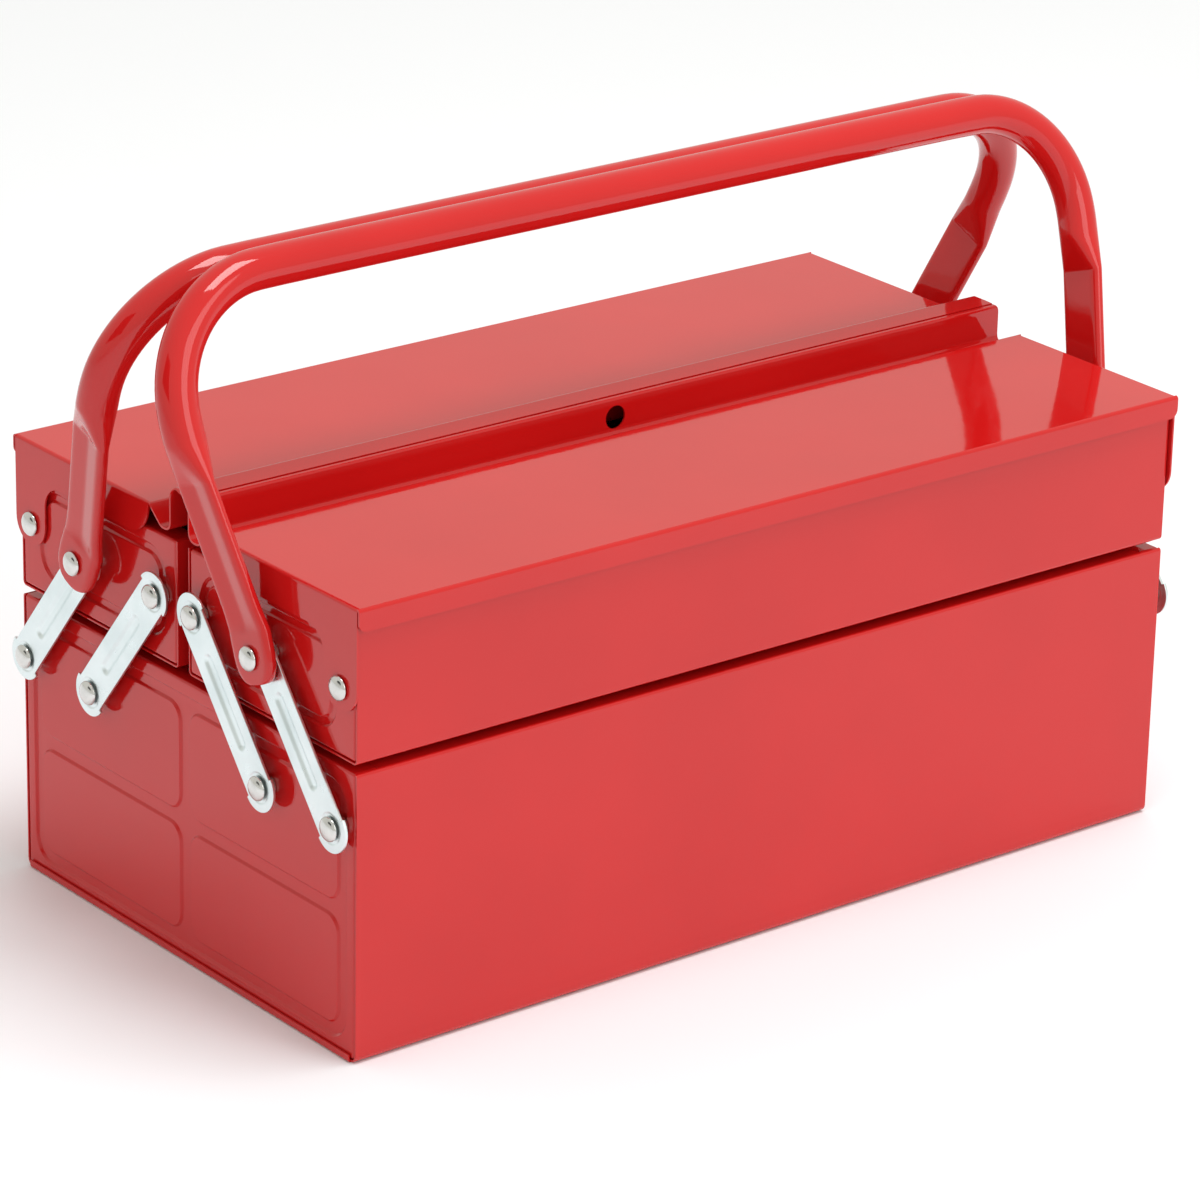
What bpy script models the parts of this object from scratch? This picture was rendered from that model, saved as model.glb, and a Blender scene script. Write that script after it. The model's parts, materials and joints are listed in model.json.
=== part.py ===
"""Cantilever toolbox: a folded sheet base, two trays on parallelogram links, two lids, two tube handles.

X runs along the box, Y across it and +Z is up. The origin is the middle of the underside. Every length is in
metres. The front half of the box is at -Y and the rear half at +Y, and the two halves mirror each other, apart
from the ridge where the lids meet and the lean of the handles.
"""
import math

import bmesh
import bpy
from mathutils import Matrix, Vector

# ---------------------------------------------------------------- driving dimensions
FIT_GAP = 0.0003           # clearance between pieces that touch or turn on each other
SHEET = 0.0008             # thickness of the painted steel sheet
FOLD_RADIUS = 1.75 * SHEET  # outer radius of the lids' sharp folds
HOLE_STEPS = 12            # sides of every rivet and rivet hole

BASE_LENGTH = 0.400
BASE_DEPTH = 0.222
BASE_HEIGHT = 0.116
BASE_HEM = 0.008           # rim of the long walls, folded inwards
BASE_BEND = 0.003          # outer radius of the base's bottom bends
SEAM_HEIGHT = 0.003        # lip of the bottom that is folded up over each end
SEAM_PROUD = 0.0011        # how far that lip stands out from the end
PAN_FLANGE = 0.010         # flanges of the end plates, welded inside the walls

TRAY_CLEARANCE = 0.0035    # from the base's rim to the trays
TRAY_GAP = 0.007           # between the front and the rear tray
TRAY_HEIGHT = 0.0511       # ends and inner walls of the trays
TRAY_WALL_EXTRA = 0.0084   # how much higher the outer walls are
TRAY_BEND = 0.002          # outer radius of the bends along a tray

PRESS_DEPTH = 0.0009       # depth of the pressed grooves in the end plates
PRESS_FRAME = 0.0060       # flat border outside the pressed grooves of the base
PRESS_WIDTH = 0.0048       # floor of the pressed grooves
PRESS_SLOPE = 0.0010       # run of the grooves' sides
CORNER_STEPS = 3           # facets in an end plate's round corners
PRESS_INSET = 0.0085       # flat border outside the pressed groove of a tray end

LID_RISE = 0.0109          # from the trays' ends to the top of the lids
LID_OVERHANG = 0.003       # lids beyond the trays, front and rear
LID_END_GAP = 0.0007       # between a tray's end and the lid's flap
LID_FLANGE = 0.009         # long outer flange of a lid
FLAP_DEPTH = 0.0145        # shallow part of a lid's end flap
FLAP_RADIUS = 0.013        # corner of the flap next to the ridge
FLAP_NOTCH = 0.0009        # open corner between flap and flange
EAR_WIDTH = 0.0203         # deep part of the flap, which turns on the lid rivet
EAR_FLAT = 0.00025         # half of the flat between the ear's two round corners
EAR_FILLET = 0.010         # between the ear and the shallow part
EAR_DROP = 0.0088          # from the lid rivet down to the end of the ear

RIDGE_HALF = 0.0065        # from the middle to the outside of either ridge wall
GROOVE_WIDTH = 0.0127      # channel between a lid's flat and its ridge wall
GROOVE_DEPTH = 0.0067
GROOVE_FLOOR = 0.0053      # flat bottom of the channel
GROOVE_BEND = 0.002        # between the channel's bottom and its slope
RIDGE_FOOT = 0.004         # bend at the foot of a ridge wall
RIDGE_RISE = 0.0087        # front ridge wall above the lid's top
RIDGE_LAP = 0.0024         # width of the front wall's folded top
CAP_RISE = 0.0105          # rear wall above the lid's top
CAP_FALL = 0.0012          # how much lower the cap's front edge is
PADLOCK_RADIUS = 0.00475
PADLOCK_RISE = 0.0007      # hole's middle above the lid's top

LINK_WIDTH = 0.019
LINK_PLATE = 0.0012
LINK_FLANGE = 0.0030       # link's long edges, folded towards the box
LINK_REACH = 0.0434        # tray pivot further in than its base pivot
LINK_LIFT = 0.0537         # tray pivot higher than its base pivot
LINK_CLEARANCE = 0.0012    # from the box's end to the link's flanges
BASE_PIVOT_DROP = 0.0227   # base pivots below the rim
BASE_PIVOT_INSET = 0.009   # outer base pivots in from the side of the box
TRAY_PIVOT_INSET = 0.0096  # inner tray pivots in from the trays' inner walls
LID_PIVOT_INSET = 0.009
LID_PIVOT_HEIGHT = 0.0283  # lid pivots above the trays' underside

PIN_RADIUS = 0.0025        # rivet shank
HEAD_RADIUS = 0.0049
HEAD_HEIGHT = 0.0026
SHOULDER_RADIUS = 0.0042   # collar of the rivet, between the box and the link
TAIL_RADIUS = 0.0040
TAIL_HEIGHT = 0.0012

TUBE_RADIUS = 0.008
LUG_WIDTH = 0.0245         # flattened end of the handle's tube
LUG_THICKNESS = 0.005
LUG_END = 0.0105           # lug beyond its rivet
LUG_LENGTH = 0.010         # straight part of the lug above its rivet
LUG_TIP = 0.35             # flat tip of the lug, as a share of its width
CREASE_REACH = 0.067       # from the rivet to the crease where the flat leg ends
CREASE_SPLAY = 0.0107      # how far the crease stands out from the lug
ROUNDING_LENGTH = 0.014    # from the flat leg to the round tube
CORNER_SPLAY = 0.0163      # how far the grip's corner stands out from the lug
CORNER_RADIUS = 0.046
HANDLE_REACH = 0.1384      # from the rivet to the grip
FRONT_GRIP_OFFSET = 0.0138  # front grip from the middle of the box
GRIP_GAP = 0.0022          # between the two grips
TUBE_SIDES = 12            # facets around the tube
GRIP_BEND_STEPS = 6        # and along its bend

RED_PAINT = (0.58, 0.020, 0.028)
ZINC = (0.74, 0.80, 0.80)
BRIGHT_STEEL = (0.70, 0.70, 0.68)

# ---------------------------------------------------------------- derived sizes
HALF_LENGTH = BASE_LENGTH / 2
HALF_DEPTH = BASE_DEPTH / 2
TRAY_BOTTOM = BASE_HEIGHT + TRAY_CLEARANCE
TRAY_TOP = TRAY_BOTTOM + TRAY_HEIGHT
TRAY_INNER = TRAY_GAP / 2
LID_TOP = TRAY_TOP + LID_RISE
LID_HALF_LENGTH = HALF_LENGTH + LID_END_GAP + SHEET
LID_OUTER = HALF_DEPTH + LID_OVERHANG
GROOVE_START = RIDGE_HALF + GROOVE_WIDTH

BASE_PIVOT_Z = BASE_HEIGHT - BASE_PIVOT_DROP
TRAY_PIVOT_Z = BASE_PIVOT_Z + LINK_LIFT
OUTER_BASE_Y = HALF_DEPTH - BASE_PIVOT_INSET
OUTER_TRAY_Y = OUTER_BASE_Y - LINK_REACH
INNER_TRAY_Y = TRAY_INNER + TRAY_PIVOT_INSET
INNER_BASE_Y = INNER_TRAY_Y + LINK_REACH
LID_PIVOT_Y = HALF_DEPTH - LID_PIVOT_INSET
LID_PIVOT_Z = TRAY_BOTTOM + LID_PIVOT_HEIGHT

LINK_BACK = HALF_LENGTH + LINK_CLEARANCE
LINK_FACE = LINK_BACK + LINK_FLANGE + LINK_PLATE
LUG_MIDDLE = LINK_FACE + FIT_GAP + LUG_THICKNESS / 2
HOLE_RADIUS = PIN_RADIUS + FIT_GAP
DRILL_LENGTH = 0.04

FRONT, REAR = -1, 1
SIDES = {"front": FRONT, "rear": REAR}
ENDS = {"left": -1, "right": 1}


# ---------------------------------------------------------------- scene and materials
def clear_scene():
    for item in list(bpy.data.objects):
        bpy.data.objects.remove(item, do_unlink=True)


def add_collection(name):
    collection = bpy.data.collections.new(name)
    bpy.context.scene.collection.children.link(collection)
    return collection


def add_material(name, colour, roughness, metallic):
    material = bpy.data.materials.new(name)
    material.use_nodes = True
    shader = material.node_tree.nodes["Principled BSDF"]
    shader.inputs["Base Color"].default_value = (*colour, 1)
    shader.inputs["Roughness"].default_value = roughness
    shader.inputs["Metallic"].default_value = metallic
    material.diffuse_color = (*colour, 1)
    return material


clear_scene()
TOOLBOX = add_collection("cantilever_toolbox")
CUTTERS = add_collection("cutters")
PAINT = add_material("red_paint", RED_PAINT, 0.2, 0.0)
PLATING = add_material("zinc_plating", ZINC, 0.3, 1.0)
STEEL = add_material("bright_steel", BRIGHT_STEEL, 0.2, 1.0)


# ---------------------------------------------------------------- joint axes
axis_points = {}


def add_axis(name, y, z, parent=None):
    """An empty on a joint's axis; the pieces of the moving body hang on it."""
    empty = bpy.data.objects.new(name, None)
    empty.empty_display_type = "ARROWS"
    empty.empty_display_size = 0.02
    TOOLBOX.objects.link(empty)
    axis_points[name] = Vector((0, y, z))
    empty.location = axis_points[name]
    if parent:
        empty.location = axis_points[name] - axis_points[parent.name]
        empty.parent = parent
    return empty


def hang_on(piece, axis):
    """Give a piece that was modelled in place the joint's axis as its origin."""
    piece.data.transform(Matrix.Translation(-axis_points[axis.name]))
    piece.parent = axis


# ---------------------------------------------------------------- modelling helpers
def link_mesh(name, shape, material, collection=TOOLBOX):
    mesh = bpy.data.meshes.new(name)
    shape.to_mesh(mesh)
    shape.free()
    mesh.materials.append(material)
    piece = bpy.data.objects.new(name, mesh)
    collection.objects.link(piece)
    return piece


def solidify(piece, thickness=SHEET):
    modifier = piece.modifiers.new("sheet", "SOLIDIFY")
    modifier.thickness = thickness
    modifier.offset = -1
    modifier.use_even_offset = True


def boolean(piece, tool, operation="DIFFERENCE"):
    modifier = piece.modifiers.new(operation.lower(), "BOOLEAN")
    modifier.operation = operation
    modifier.object = tool
    modifier.solver = "EXACT"


def hide_tool(tool):
    tool.hide_render = True
    tool.display_type = "WIRE"


def box_tool(name, low, high):
    """A box between two corners, for cutting or joining."""
    shape = bmesh.new()
    bmesh.ops.create_cube(shape, size=1)
    low, high = Vector(low), Vector(high)
    bmesh.ops.scale(shape, vec=high - low, verts=shape.verts)
    bmesh.ops.translate(shape, vec=(low + high) / 2, verts=shape.verts)
    tool = link_mesh(name, shape, STEEL, CUTTERS)
    hide_tool(tool)
    return tool


def cylinder_tool(name, centre, radius, length, axis="X"):
    shape = bmesh.new()
    bmesh.ops.create_cone(shape, cap_ends=True, segments=HOLE_STEPS, radius1=radius, radius2=radius, depth=length)
    turn = Matrix.Rotation(math.pi / 2, 3, "Y" if axis == "X" else "X")
    bmesh.ops.rotate(shape, matrix=turn, verts=shape.verts)
    bmesh.ops.translate(shape, vec=centre, verts=shape.verts)
    tool = link_mesh(name, shape, STEEL, CUTTERS)
    hide_tool(tool)
    return tool


def rounded(corners, steps=3):
    """Turn (u, v, radius) corners into outline points, with an arc at each corner that has a radius."""
    points = []
    for i, (u, v, radius) in enumerate(corners):
        here = Vector((u, v))
        if not radius:
            points.append(here)
            continue
        back = (Vector(corners[i - 1][:2]) - here).normalized()
        ahead = (Vector(corners[(i + 1) % len(corners)][:2]) - here).normalized()
        half = back.angle(ahead) / 2
        centre = here + (back + ahead).normalized() * radius / math.sin(half)
        first = here + back * radius / math.tan(half) - centre
        last = here + ahead * radius / math.tan(half) - centre
        turn = first.angle_signed(last)
        for k in range(steps + 1):
            points.append(centre + Matrix.Rotation(-turn * k / steps, 2) @ first)
    return points


def folded_sheet(name, side, corners, half_length, material=PAINT):
    """A sheet with the same fold all along X. Corners are (distance from the middle, height, bend radius)."""
    outline = rounded(corners)
    if side < 0:
        outline.reverse()
    shape = bmesh.new()
    row = [shape.verts.new((-half_length, side * u, v)) for u, v in outline]
    edges = [shape.edges.new(pair) for pair in zip(row, row[1:])]
    swept = bmesh.ops.extrude_edge_only(shape, edges=edges)["geom"]
    moved = [item for item in swept if isinstance(item, bmesh.types.BMVert)]
    bmesh.ops.translate(shape, vec=(2 * half_length, 0, 0), verts=moved)
    piece = link_mesh(name, shape, material)
    solidify(piece)
    return piece


def plate(name, side, corners, x_low, x_high, collection, material=PAINT):
    """A flat plate across X, from an outline of (distance from the middle, height, radius) corners."""
    curve = bpy.data.curves.new(name, "CURVE")
    curve.dimensions = "2D"
    curve.fill_mode = "BOTH"
    curve.extrude = (x_high - x_low) / 2
    outline = rounded(corners, steps=5)
    spline = curve.splines.new("POLY")
    spline.points.add(len(outline) - 1)
    for point, (u, v) in zip(spline.points, outline):
        point.co = (side * u, v, 0, 1)
    spline.use_cyclic_u = True
    flat = bpy.data.objects.new(name, curve)
    collection.objects.link(flat)
    mesh = bpy.data.meshes.new_from_object(flat.evaluated_get(bpy.context.evaluated_depsgraph_get()))
    bpy.data.objects.remove(flat)
    shape = bmesh.new()
    shape.from_mesh(mesh)
    bmesh.ops.remove_doubles(shape, verts=shape.verts, dist=1e-6)
    stand_up = Matrix(((0, 0, 1), (1, 0, 0), (0, 1, 0)))
    bmesh.ops.transform(shape, matrix=stand_up.to_4x4(), verts=shape.verts)
    bmesh.ops.translate(shape, vec=((x_low + x_high) / 2, 0, 0), verts=shape.verts)
    bmesh.ops.recalc_face_normals(shape, faces=shape.faces)
    return link_mesh(name, shape, material, collection)


def cut_holes(piece, name, end, places, radius=HOLE_RADIUS):
    """Rivet holes through everything near one end of the box."""
    for number, (y, z) in enumerate(places, 1):
        tool = cylinder_tool(f"{name}_hole_{number}", (end * LINK_BACK, y, z), radius, DRILL_LENGTH)
        boolean(piece, tool)


# ---------------------------------------------------------------- end plates
def outer_face(shape, end):
    return max(shape.faces, key=lambda face: end * face.calc_center_median().x)


def inset(shape, faces, thickness, depth=0.0, apart=False):
    """Inset faces as one region, or each one apart from its neighbours."""
    if apart:
        bmesh.ops.inset_individual(shape, faces=faces, thickness=thickness, depth=depth, use_even_offset=True)
    else:
        bmesh.ops.inset_region(shape, faces=faces, thickness=thickness, depth=depth, use_boundary=True,
                               use_even_offset=True)


def press_panels(shape, faces, border):
    """Press a groove around each face of a group, and between them, and leave the panels level."""
    inset(shape, faces, border)
    inset(shape, faces, PRESS_SLOPE, -PRESS_DEPTH)
    if len(faces) > 1:
        inset(shape, faces, PRESS_WIDTH / 2)
        inset(shape, faces, PRESS_WIDTH / 2, apart=True)
    else:
        inset(shape, faces, PRESS_WIDTH)
    inset(shape, faces, PRESS_SLOPE, PRESS_DEPTH, apart=True)


def end_pan(name, end, low, high, radius, border, crossed):
    """An end plate with flanges folded into the box, its bottom corners rounded and its face pressed."""
    shape = bmesh.new()
    bmesh.ops.create_cube(shape, size=1)
    size = Vector((PAN_FLANGE, high[0] - low[0], high[1] - low[1]))
    bmesh.ops.scale(shape, vec=size, verts=shape.verts)
    middle = Vector((end * (HALF_LENGTH - PAN_FLANGE / 2), (low[0] + high[0]) / 2, (low[1] + high[1]) / 2))
    bmesh.ops.translate(shape, vec=middle, verts=shape.verts)
    bmesh.ops.delete(shape, geom=[outer_face(shape, -end)], context="FACES_ONLY")
    corners = [edge for edge in shape.edges
               if abs(edge.verts[0].co.x - edge.verts[1].co.x) > PAN_FLANGE / 2
               and edge.verts[0].co.z < middle.z]
    faces = [outer_face(shape, end)]
    if crossed:
        for point, normal in (((0, 0, middle.z), (0, 0, 1)), ((0, middle.y, 0), (0, 1, 0))):
            outlines = {edge for face in faces for edge in face.edges}
            points = {vert for face in faces for vert in face.verts}
            bmesh.ops.bisect_plane(shape, geom=faces + list(outlines) + list(points), plane_co=point,
                                   plane_no=normal)
            shape.normal_update()
            faces = [face for face in shape.faces if abs(face.normal.x) > 0.9]
    press_panels(shape, faces, border)
    bmesh.ops.bevel(shape, geom=corners, offset=radius, segments=CORNER_STEPS, profile=0.5, affect="EDGES")
    piece = link_mesh(name, shape, PAINT)
    solidify(piece)
    return piece


# ---------------------------------------------------------------- base
def seam_lip(end):
    """The strip of the base's bottom that is folded up over an end plate."""
    reach = HALF_LENGTH + SEAM_PROUD
    half = HALF_DEPTH - BASE_BEND
    corners = [(half, 0, 0), (half, SEAM_HEIGHT, 0), (-half, SEAM_HEIGHT, 0), (-half, 0, 0)]
    inner, outer = sorted((end * (reach - SHEET), end * reach))
    lip = plate(f"seam_lip_{end}", 1, corners, inner, outer, CUTTERS)
    hide_tool(lip)
    low_x, high_x = sorted((end * (HALF_LENGTH - PAN_FLANGE), end * (reach - SHEET / 2)))
    foot = box_tool(f"seam_foot_{end}", (low_x, -half, SHEET / 4), (high_x, half, SHEET * 3 / 4))
    return lip, foot


def build_base():
    hem = HALF_DEPTH - BASE_HEM
    corners = [(hem, BASE_HEIGHT, 0), (HALF_DEPTH, BASE_HEIGHT, 0), (HALF_DEPTH, 0, BASE_BEND),
               (-HALF_DEPTH, 0, BASE_BEND), (-HALF_DEPTH, BASE_HEIGHT, 0), (-hem, BASE_HEIGHT, 0)]
    wrapper = folded_sheet("base_wrapper", FRONT, corners, HALF_LENGTH)
    wall = HALF_DEPTH - SHEET
    for end_name, end in ENDS.items():
        start, stop = sorted((end * (HALF_LENGTH - PAN_FLANGE - FIT_GAP), end * (HALF_LENGTH + SHEET)))
        notch = box_tool(f"hem_notch_{end_name}", (start, -wall, BASE_HEIGHT - 2 * SHEET),
                         (stop, wall, BASE_HEIGHT + SHEET))
        boolean(wrapper, notch)
        for tool in seam_lip(end):
            boolean(wrapper, tool, "UNION")
        inside = wall - FIT_GAP
        pan = end_pan(f"base_end_{end_name}", end, (-inside, SHEET + FIT_GAP), (inside, BASE_HEIGHT),
                      BASE_BEND - SHEET - FIT_GAP, PRESS_FRAME, crossed=True)
        places = [(side * y, BASE_PIVOT_Z) for side in SIDES.values() for y in (OUTER_BASE_Y, INNER_BASE_Y)]
        cut_holes(pan, f"base_end_{end_name}", end, places)


# ---------------------------------------------------------------- trays
def build_tray(side_name, axis):
    side = SIDES[side_name]
    corners = [(HALF_DEPTH, TRAY_TOP + TRAY_WALL_EXTRA, 0), (HALF_DEPTH, TRAY_BOTTOM, TRAY_BEND),
               (TRAY_INNER, TRAY_BOTTOM, TRAY_BEND), (TRAY_INNER, TRAY_TOP, 0)]
    hang_on(folded_sheet(f"{side_name}_tray_wrapper", side, corners, HALF_LENGTH), axis)
    margin = SHEET + FIT_GAP
    edges = sorted((side * (TRAY_INNER + margin), side * (HALF_DEPTH - margin)))
    for end_name, end in ENDS.items():
        pan = end_pan(f"{side_name}_tray_end_{end_name}", end, (edges[0], TRAY_BOTTOM + margin),
                      (edges[1], TRAY_TOP), TRAY_BEND - margin, PRESS_INSET, crossed=False)
        places = [(side * OUTER_TRAY_Y, TRAY_PIVOT_Z), (side * INNER_TRAY_Y, TRAY_PIVOT_Z),
                  (side * LID_PIVOT_Y, LID_PIVOT_Z)]
        cut_holes(pan, f"{side_name}_tray_end_{end_name}", end, places)
        hang_on(pan, axis)


# ---------------------------------------------------------------- lids
def flap_corners():
    """Outline of a lid's end flap, with the ear that turns on the lid rivet."""
    top = LID_TOP - SHEET / 2
    low = LID_TOP - FLAP_DEPTH
    outer = LID_OUTER - FLAP_NOTCH
    ear_end = LID_PIVOT_Z - EAR_DROP
    inner = outer - EAR_WIDTH
    curl = EAR_WIDTH / 2 - EAR_FLAT
    return [(GROOVE_START, top, 0), (GROOVE_START + FLAP_NOTCH, low, FLAP_RADIUS), (inner, low, EAR_FILLET),
            (inner, ear_end, curl), (outer, ear_end, curl), (outer, top, 0)]


def lid_corners(side_name):
    """Fold of a lid from the ridge to the outer flange."""
    floor = LID_TOP - GROOVE_DEPTH
    middle = RIDGE_HALF + GROOVE_FLOOR
    fold = [(RIDGE_HALF, floor, RIDGE_FOOT), (middle, floor, GROOVE_BEND),
            (GROOVE_START, LID_TOP, FOLD_RADIUS), (LID_OUTER, LID_TOP, 0), (LID_OUTER, LID_TOP - LID_FLANGE, 0)]
    if side_name == "front":
        top = LID_TOP + RIDGE_RISE
        return [(RIDGE_HALF - RIDGE_LAP, top, 0), (RIDGE_HALF, top, FOLD_RADIUS)] + fold
    top = LID_TOP + CAP_RISE
    lap = RIDGE_HALF - RIDGE_LAP - FIT_GAP
    return [(-lap, top - CAP_FALL, 0), (RIDGE_HALF, top, FOLD_RADIUS)] + fold


def build_lid(side_name, axis):
    side = SIDES[side_name]
    lid = folded_sheet(f"{side_name}_lid", side, lid_corners(side_name), LID_HALF_LENGTH - SHEET / 4)
    for end_name, end in ENDS.items():
        inner, outer = sorted((end * (LID_HALF_LENGTH - SHEET), end * LID_HALF_LENGTH))
        flap = plate(f"{side_name}_flap_{end_name}", side, flap_corners(), inner, outer, CUTTERS)
        hide_tool(flap)
        boolean(lid, flap, "UNION")
        cut_holes(lid, f"{side_name}_lid_{end_name}", end, [(side * LID_PIVOT_Y, LID_PIVOT_Z)])
    wall_y = side * RIDGE_HALF
    padlock = cylinder_tool(f"{side_name}_padlock_hole", (0, wall_y, LID_TOP + PADLOCK_RISE), PADLOCK_RADIUS,
                            RIDGE_HALF, "Y")
    boolean(lid, padlock)
    hang_on(lid, axis)


# ---------------------------------------------------------------- links
def link_outline(low, high):
    """A bar with round ends around two pivots."""
    half = LINK_WIDTH / 2
    along = (Vector(high) - Vector(low)).normalized() * half
    across = Vector((along.y, -along.x))
    corners = [Vector(low) - along + across, Vector(high) + along + across,
               Vector(high) + along - across, Vector(low) - along - across]
    return [(corner.x, corner.y, half * 0.999) for corner in corners]


def build_link(name, side, end, low, high, axis):
    inner, outer = sorted((end * LINK_BACK, end * LINK_FACE))
    link = plate(name, side, link_outline(low, high), inner, outer, TOOLBOX, PLATING)
    run = Vector(high) - Vector(low)
    channel_depth = sorted((end * (LINK_BACK - SHEET), end * (LINK_BACK + LINK_FLANGE)))
    reach = run.length / 2 + LINK_WIDTH
    wide = LINK_WIDTH / 2 - LINK_PLATE
    channel = box_tool(f"{name}_channel", (channel_depth[0], -wide, -reach), (channel_depth[1], wide, reach))
    middle = (Vector(low) + Vector(high)) / 2
    lean = math.atan2(run.x, run.y)
    channel.location = (0, side * middle.x, middle.y)
    channel.rotation_euler = (-side * lean, 0, 0)
    boolean(link, channel)
    cut_holes(link, name, end, [(side * low[0], low[1]), (side * high[0], high[1])])
    hang_on(link, axis)


# ---------------------------------------------------------------- rivets
def rivet_profile(stack, sink):
    """Radius and height of a rivet's side, top to bottom; heights are from the end plate's outer face.

    The stack is what the rivet holds outside that face. The sink is the depth of a groove pressed beside it.
    """
    head_base = stack + FIT_GAP
    tail_top = -SHEET - FIT_GAP - sink
    dome = [(HEAD_RADIUS * math.sin(a), head_base + HEAD_HEIGHT * math.cos(a))
            for a in (0, math.radians(35), math.radians(65), math.pi / 2)]
    points = dome + [(PIN_RADIUS, head_base)]
    if stack > LINK_CLEARANCE + LINK_FLANGE:
        collar_top = LINK_CLEARANCE + LINK_FLANGE - FIT_GAP
        points += [(PIN_RADIUS, collar_top), (SHOULDER_RADIUS, collar_top),
                   (SHOULDER_RADIUS, FIT_GAP), (PIN_RADIUS, FIT_GAP)]
    return points + [(PIN_RADIUS, tail_top), (TAIL_RADIUS, tail_top),
                     (TAIL_RADIUS, tail_top - TAIL_HEIGHT), (0, tail_top - TAIL_HEIGHT)]


def rivet_mesh(name, stack, sink=0.0):
    shape = bmesh.new()
    row = [shape.verts.new((radius, 0, height)) for radius, height in rivet_profile(stack, sink)]
    for pair in zip(row, row[1:]):
        shape.edges.new(pair)
    mesh = bpy.data.meshes.new(name)
    shape.to_mesh(mesh)
    shape.free()
    mesh.materials.append(STEEL)
    return mesh


def build_rivet(name, mesh, end, y, z, axis=None):
    rivet = bpy.data.objects.new(name, mesh)
    TOOLBOX.objects.link(rivet)
    turned = rivet.modifiers.new("turned", "SCREW")
    turned.steps = turned.render_steps = HOLE_STEPS
    turned.use_merge_vertices = True
    turned.merge_threshold = 0.00001
    rivet.location = (end * HALF_LENGTH, y, z)
    rivet.rotation_euler = (0, end * math.pi / 2, 0)
    if axis:
        rivet.parent = axis
        rivet.location -= axis_points[axis.name]


# ---------------------------------------------------------------- handles
def handle_sections():
    """Half of a handle from the lug to the middle of the grip: (x, reach, direction, half width, half thickness)."""
    flat = (LUG_WIDTH / 2, LUG_THICKNESS / 2)
    tube = (TUBE_RADIUS, TUBE_RADIUS)
    lug_top = Vector((LUG_MIDDLE, LUG_LENGTH))
    crease = Vector((LUG_MIDDLE + CREASE_SPLAY, CREASE_REACH))
    corner = Vector((LUG_MIDDLE + CORNER_SPLAY, HANDLE_REACH))
    leg = (corner - crease).normalized()
    upright = Vector((0, 1))
    sections = []
    for share in (1.0, 0.8, 0.5, 0.0):
        width = LUG_TIP + (1 - LUG_TIP) * math.sqrt(1 - share * share)
        sections.append((LUG_MIDDLE, -LUG_END * share, upright, width * flat[0], flat[1]))
    slant = (crease - lug_top).normalized()
    sections.append((*lug_top, slant + upright, *flat))
    sections.append((*crease, slant + leg, *flat))
    sections.append((*(crease + leg * ROUNDING_LENGTH), leg, *tube))
    turn = leg.angle(Vector((-1, 0)))
    tangent = CORNER_RADIUS * math.tan(turn / 2)
    first = corner - leg * tangent
    centre = first + Vector((-leg.y, leg.x)) * CORNER_RADIUS
    for k in range(GRIP_BEND_STEPS + 1):
        swing = Matrix.Rotation(turn * k / GRIP_BEND_STEPS, 2)
        place = centre + swing @ (first - centre)
        sections.append((*place, swing @ leg, *tube))
    sections.append((0, HANDLE_REACH, Vector((-1, 0)), *tube))
    return sections


def build_handle(side_name, lean, axis):
    """Loft the tube through its sections, close its ends, mirror it and lean it inwards."""
    side = SIDES[side_name]
    shape = bmesh.new()
    rings = []
    for x, reach, direction, half_width, half_thickness in handle_sections():
        outward = Vector((direction[1], -direction[0])).normalized()
        ring = []
        for k in range(TUBE_SIDES):
            angle = 2 * math.pi * (k + 0.5) / TUBE_SIDES
            offset = outward * half_thickness * math.cos(angle)
            ring.append(shape.verts.new((x + offset.x, half_width * math.sin(angle), reach + offset.y)))
        rings.append(ring)
    for low, high in zip(rings, rings[1:]):
        for k in range(TUBE_SIDES):
            shape.faces.new((low[k], low[k - 1], high[k - 1], high[k]))
    shape.faces.new(rings[0])
    bmesh.ops.recalc_face_normals(shape, faces=shape.faces)
    bmesh.ops.rotate(shape, matrix=Matrix.Rotation(side * lean, 3, "X"), verts=shape.verts)
    handle = link_mesh(f"{side_name}_handle", shape, PAINT)
    mirror = handle.modifiers.new("other_half", "MIRROR")
    mirror.merge_threshold = 0.00001
    pivot = Vector((0, side * OUTER_TRAY_Y, TRAY_PIVOT_Z))
    handle.data.transform(Matrix.Translation(pivot))
    for end_name, end in ENDS.items():
        cut_holes(handle, f"{side_name}_handle_{end_name}", end, [(pivot.y, pivot.z)])
    hang_on(handle, axis)


def handle_leans():
    """The front handle leans in to its grip's place, and the rear one until the grips nearly touch."""
    front_lean = math.asin((OUTER_TRAY_Y - FRONT_GRIP_OFFSET) / HANDLE_REACH)
    front_grip = Vector((-FRONT_GRIP_OFFSET, HANDLE_REACH * math.cos(front_lean)))
    spacing = 2 * TUBE_RADIUS + GRIP_GAP
    offset = front_grip - Vector((OUTER_TRAY_Y, 0))
    cosine = (HANDLE_REACH ** 2 + offset.length_squared - spacing ** 2) / (2 * HANDLE_REACH * offset.length)
    rear_lean = math.atan2(-offset.x, offset.y) - math.acos(cosine)
    return {"front": front_lean, "rear": rear_lean}


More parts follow.
